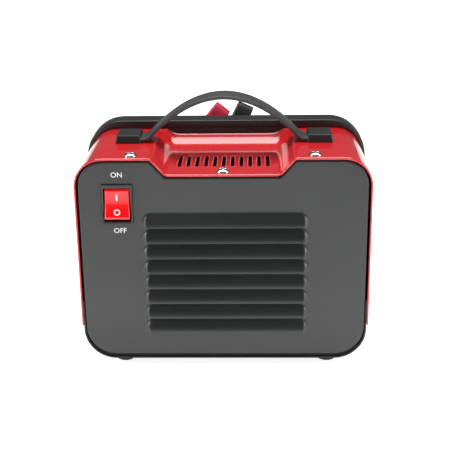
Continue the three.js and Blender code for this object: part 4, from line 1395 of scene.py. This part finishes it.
def jaw_outline(side):
    """One jaw seen from the side: nose, gripping teeth, pivot, and a long swept handle."""
    bite = 2.8
    points = [
        (0.7, 16.4), (3.6, 16.2), (5.4, 14.6), (7.4, 10), (8.4, 4), (9.1, -6), (9.2, -16),
        (9.6, -25), (12.6, -36), (19, -46), (21.6, -56), (22, -71), (21.2, -73.4), (19.6, -74),
        (16.6, -74), (15.4, -72), (15.2, -60), (13.8, -50), (8.4, -37), (5.4, -30), (5.2, -20),
        (bite, -14), (bite, 8.4), (0.6, 11.6),
    ]
    return [(side * y, z) for y, z in points]


def clamp(prefix, node, x, lean, paint, body):
    """The two insulated jaws of a spring clamp."""
    place = clamp_frame(x, lean)
    room = CLAMP_EAR + 0.6
    for part, side, rides, pockets, ears in (
        ("fixed_jaw", -1, "root", [(-3.4, 3.4)], [(-6, -3.4), (3.4, 6)]),
        ("moving_jaw", 1, body, [(-8, -3.1), (3.1, 8)], [(-3.1, 0)]),
    ):
        outline = jaw_outline(side)
        rings = [[place(a, y, z) for y, z in outline] for a in (-CLAMP_HALF, CLAMP_HALF)]
        jaw = add_piece(f"{prefix}_{part}", *capped(rings), paint, [f"{node}_{part}"], body=rides)
        cut_boxes(jaw, [
            (a0, a1, -room, room, CLAMP_PIVOT - room, CLAMP_PIVOT + room) for a0, a1 in pockets
        ], place)
        add_ears(jaw, ears, place)
        round_edges(jaw, 1.1, segments=3, angle=35)


def pin_ring(place, r, a, sides):
    """A ring round the clamp's pin, of radius r, at a along it."""
    return [place(a, r * cos, CLAMP_PIVOT + r * sin) for cos, sin in circle(sides)]


def add_ears(jaw, spans, place):
    """Joins the jaw's pivot ears to its mesh: short drums round the pin."""
    work = bmesh.new()
    work.from_mesh(jaw.data)
    bore = CLAMP_PIN + GAP
    for a0, a1 in spans:
        profile = [(bore, a0), (CLAMP_EAR, a0), (CLAMP_EAR, a1), (bore, a1)]
        rings = [pin_ring(place, r, a, 32) for r, a in profile]
        verts, faces = bridge(rings, closed_section=True)
        made = [work.verts.new(at(*v)) for v in verts]
        for face in faces:
            work.faces.new([made[k] for k in face])
    bmesh.ops.recalc_face_normals(work, faces=work.faces)
    for face in work.faces:
        face.smooth = True
    work.to_mesh(jaw.data)
    work.free()


def clamp_fittings(node, x, lean):
    """The pin and the coil spring of a clamp."""
    place = clamp_frame(x, lean)
    half = [(0.4, -6.6), (1.6, -6.6), (2.1, -6.1), (2.2, -5.4)]
    profile = half + [(r, -a) for r, a in reversed(half)]
    rings = [pin_ring(place, r, a, 28) for r, a in profile]
    add_piece(f"{node}_rivet", *capped(rings), "nickel", [f"{node}_pin"], sharp=50)

    wire, coil_radius, turns, steps = 0.4, 3.2, 3, 72
    rings = []
    for k in range(steps + 1):
        t = k / steps
        turn = 2 * math.pi * turns * t
        a = 0.85 + 1.6 * t
        ring = []
        for m in range(8):
            around = 2 * math.pi * m / 8
            r = coil_radius + wire * math.cos(around)
            ring.append(place(a + wire * math.sin(around), r * math.cos(turn),
                              CLAMP_PIVOT + r * math.sin(turn)))
        rings.append(ring)
    add_piece(f"{node}_coil_spring", *capped(rings), "steel", [f"{node}_spring"])


for clamp_name, clamp_x, clamp_lean, clamp_paint, clamp_body in (
    ("electrode", -12.5, 38, "clamp_red", "electrode_jaw"),
    ("earth", 10.5, 25, "clamp_black", "earth_jaw"),
):
    clamp(clamp_name, f"{clamp_name}_clamp", clamp_x, clamp_lean, clamp_paint, clamp_body)
    clamp_fittings(f"{clamp_name}_clamp", clamp_x, clamp_lean)


# ------------------------------------------------------------------ carried-over CAD nodes
INNER_FINISH = {
    "handle_screw_left": "steel", "handle_screw_right": "steel",
    "current_potentiometer": "steel", "fan_frame": "black_plastic", "fan_rotor": "black_plastic",
    "fan_bracket": "steel", "power_board": "circuit_board", "transformer_core": "ferrite",
    "transformer_winding": "copper", "output_choke": "copper",
    "bridge_rectifier": "black_plastic", "bulk_capacitor_1": "capacitor_sleeve",
    "bulk_capacitor_2": "capacitor_sleeve", "bulk_capacitor_3": "capacitor_sleeve",
    "transistor_heatsink": "aluminium", "rectifier_heatsink": "aluminium",
    "control_board": "circuit_board",
}


def finish_inner_nodes():
    """Materials for the pieces inside the case, whose CAD shapes stay."""
    for node, paint in INNER_FINISH.items():
        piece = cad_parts[node]
        for slot in piece.material_slots:
            slot.material = PAINT[paint]


finish_inner_nodes()


# ------------------------------------------------------------------ studio
# Brightness of the room behind the eye, beyond the machine and overhead, and of the floor.
STUDIO = {"behind": 0.2, "beyond": 1.9, "overhead": 3.2, "floor": 0.85}


def backdrop_light():
    """A studio seen in reflections: dark behind the eye, bright beyond the machine and overhead."""
    world = bpy.data.worlds.new("studio")
    world.use_nodes = True
    bpy.context.scene.world = world
    tree = world.node_tree
    background = tree.nodes["Background"]
    place = add_node(tree, "ShaderNodeTexCoord")
    split = add_node(tree, "ShaderNodeSeparateXYZ")
    tree.links.new(place.outputs["Generated"], split.inputs["Vector"])

    def rise(axis, low, high, dark, light):
        step = add_node(tree, "ShaderNodeMapRange", interpolation_type="SMOOTHSTEP")
        for key, value in (("From Min", low), ("From Max", high), ("To Min", dark),
                           ("To Max", light)):
            step.inputs[key].default_value = value
        tree.links.new(split.outputs[axis], step.inputs["Value"])
        return step.outputs["Result"]

    beyond = rise("Y", -0.1, 0.3, STUDIO["behind"], STUDIO["beyond"])
    overhead = rise("Z", 0.62, 0.88, 0.0, STUDIO["overhead"])
    either = add_node(tree, "ShaderNodeMath", operation="MAXIMUM")
    tree.links.new(beyond, either.inputs[0])
    tree.links.new(overhead, either.inputs[1])
    tree.links.new(either.outputs["Value"], background.inputs["Strength"])

def studio():
    """A lit white floor in a room that the paint mirrors."""
    backdrop_light()
    material, tree, shader = principled("floor_white")
    shade = noise(tree, 2)
    tree.links.new(
        ramp(tree, shade, [(0.3, (0.86, 0.86, 0.86)), (0.7, (0.88, 0.88, 0.88))]),
        shader.inputs["Base Color"],
    )
    shader.inputs["Roughness"].default_value = 0.7
    shader.inputs["Specular IOR Level"].default_value = 0.1
    shader.inputs["Emission Color"].default_value = (1, 1, 1, 1)
    shader.inputs["Emission Strength"].default_value = STUDIO["floor"]
    mesh = bpy.data.meshes.new("floor")
    reach = 12.0
    mesh.from_pydata(
        [(-reach, -reach, 0), (reach, -reach, 0), (reach, reach, 0), (-reach, reach, 0)],
        [], [(0, 1, 2, 3)],
    )
    mesh.materials.append(material)
    link("floor", mesh)


def soft_light(name, place, aim, size, power):
    """A rectangular lamp at one place, aimed at another, in metres and watts."""
    lamp = bpy.data.lights.new(name, "AREA")
    lamp.shape = "RECTANGLE"
    lamp.size, lamp.size_y = size
    lamp.energy = power
    light = link(name, lamp)
    here, there = Vector(place), Vector(aim)
    light.matrix_world = Matrix.Translation(here) @ (
        (there - here).to_track_quat("-Z", "Y").to_matrix().to_4x4()
    )


studio()
bpy.context.scene.view_settings.view_transform = "Standard"
soft_light("overhead", (0.0, 0.1, 1.5), (0, 0, 0.1), (1.4, 1.0), 30)
for light_side in (-1, 1):
    soft_light(f"side_{light_side + 2}", (1.1 * light_side, -0.35, 0.5), (0, 0, 0.08), (0.3, 0.8), 7)
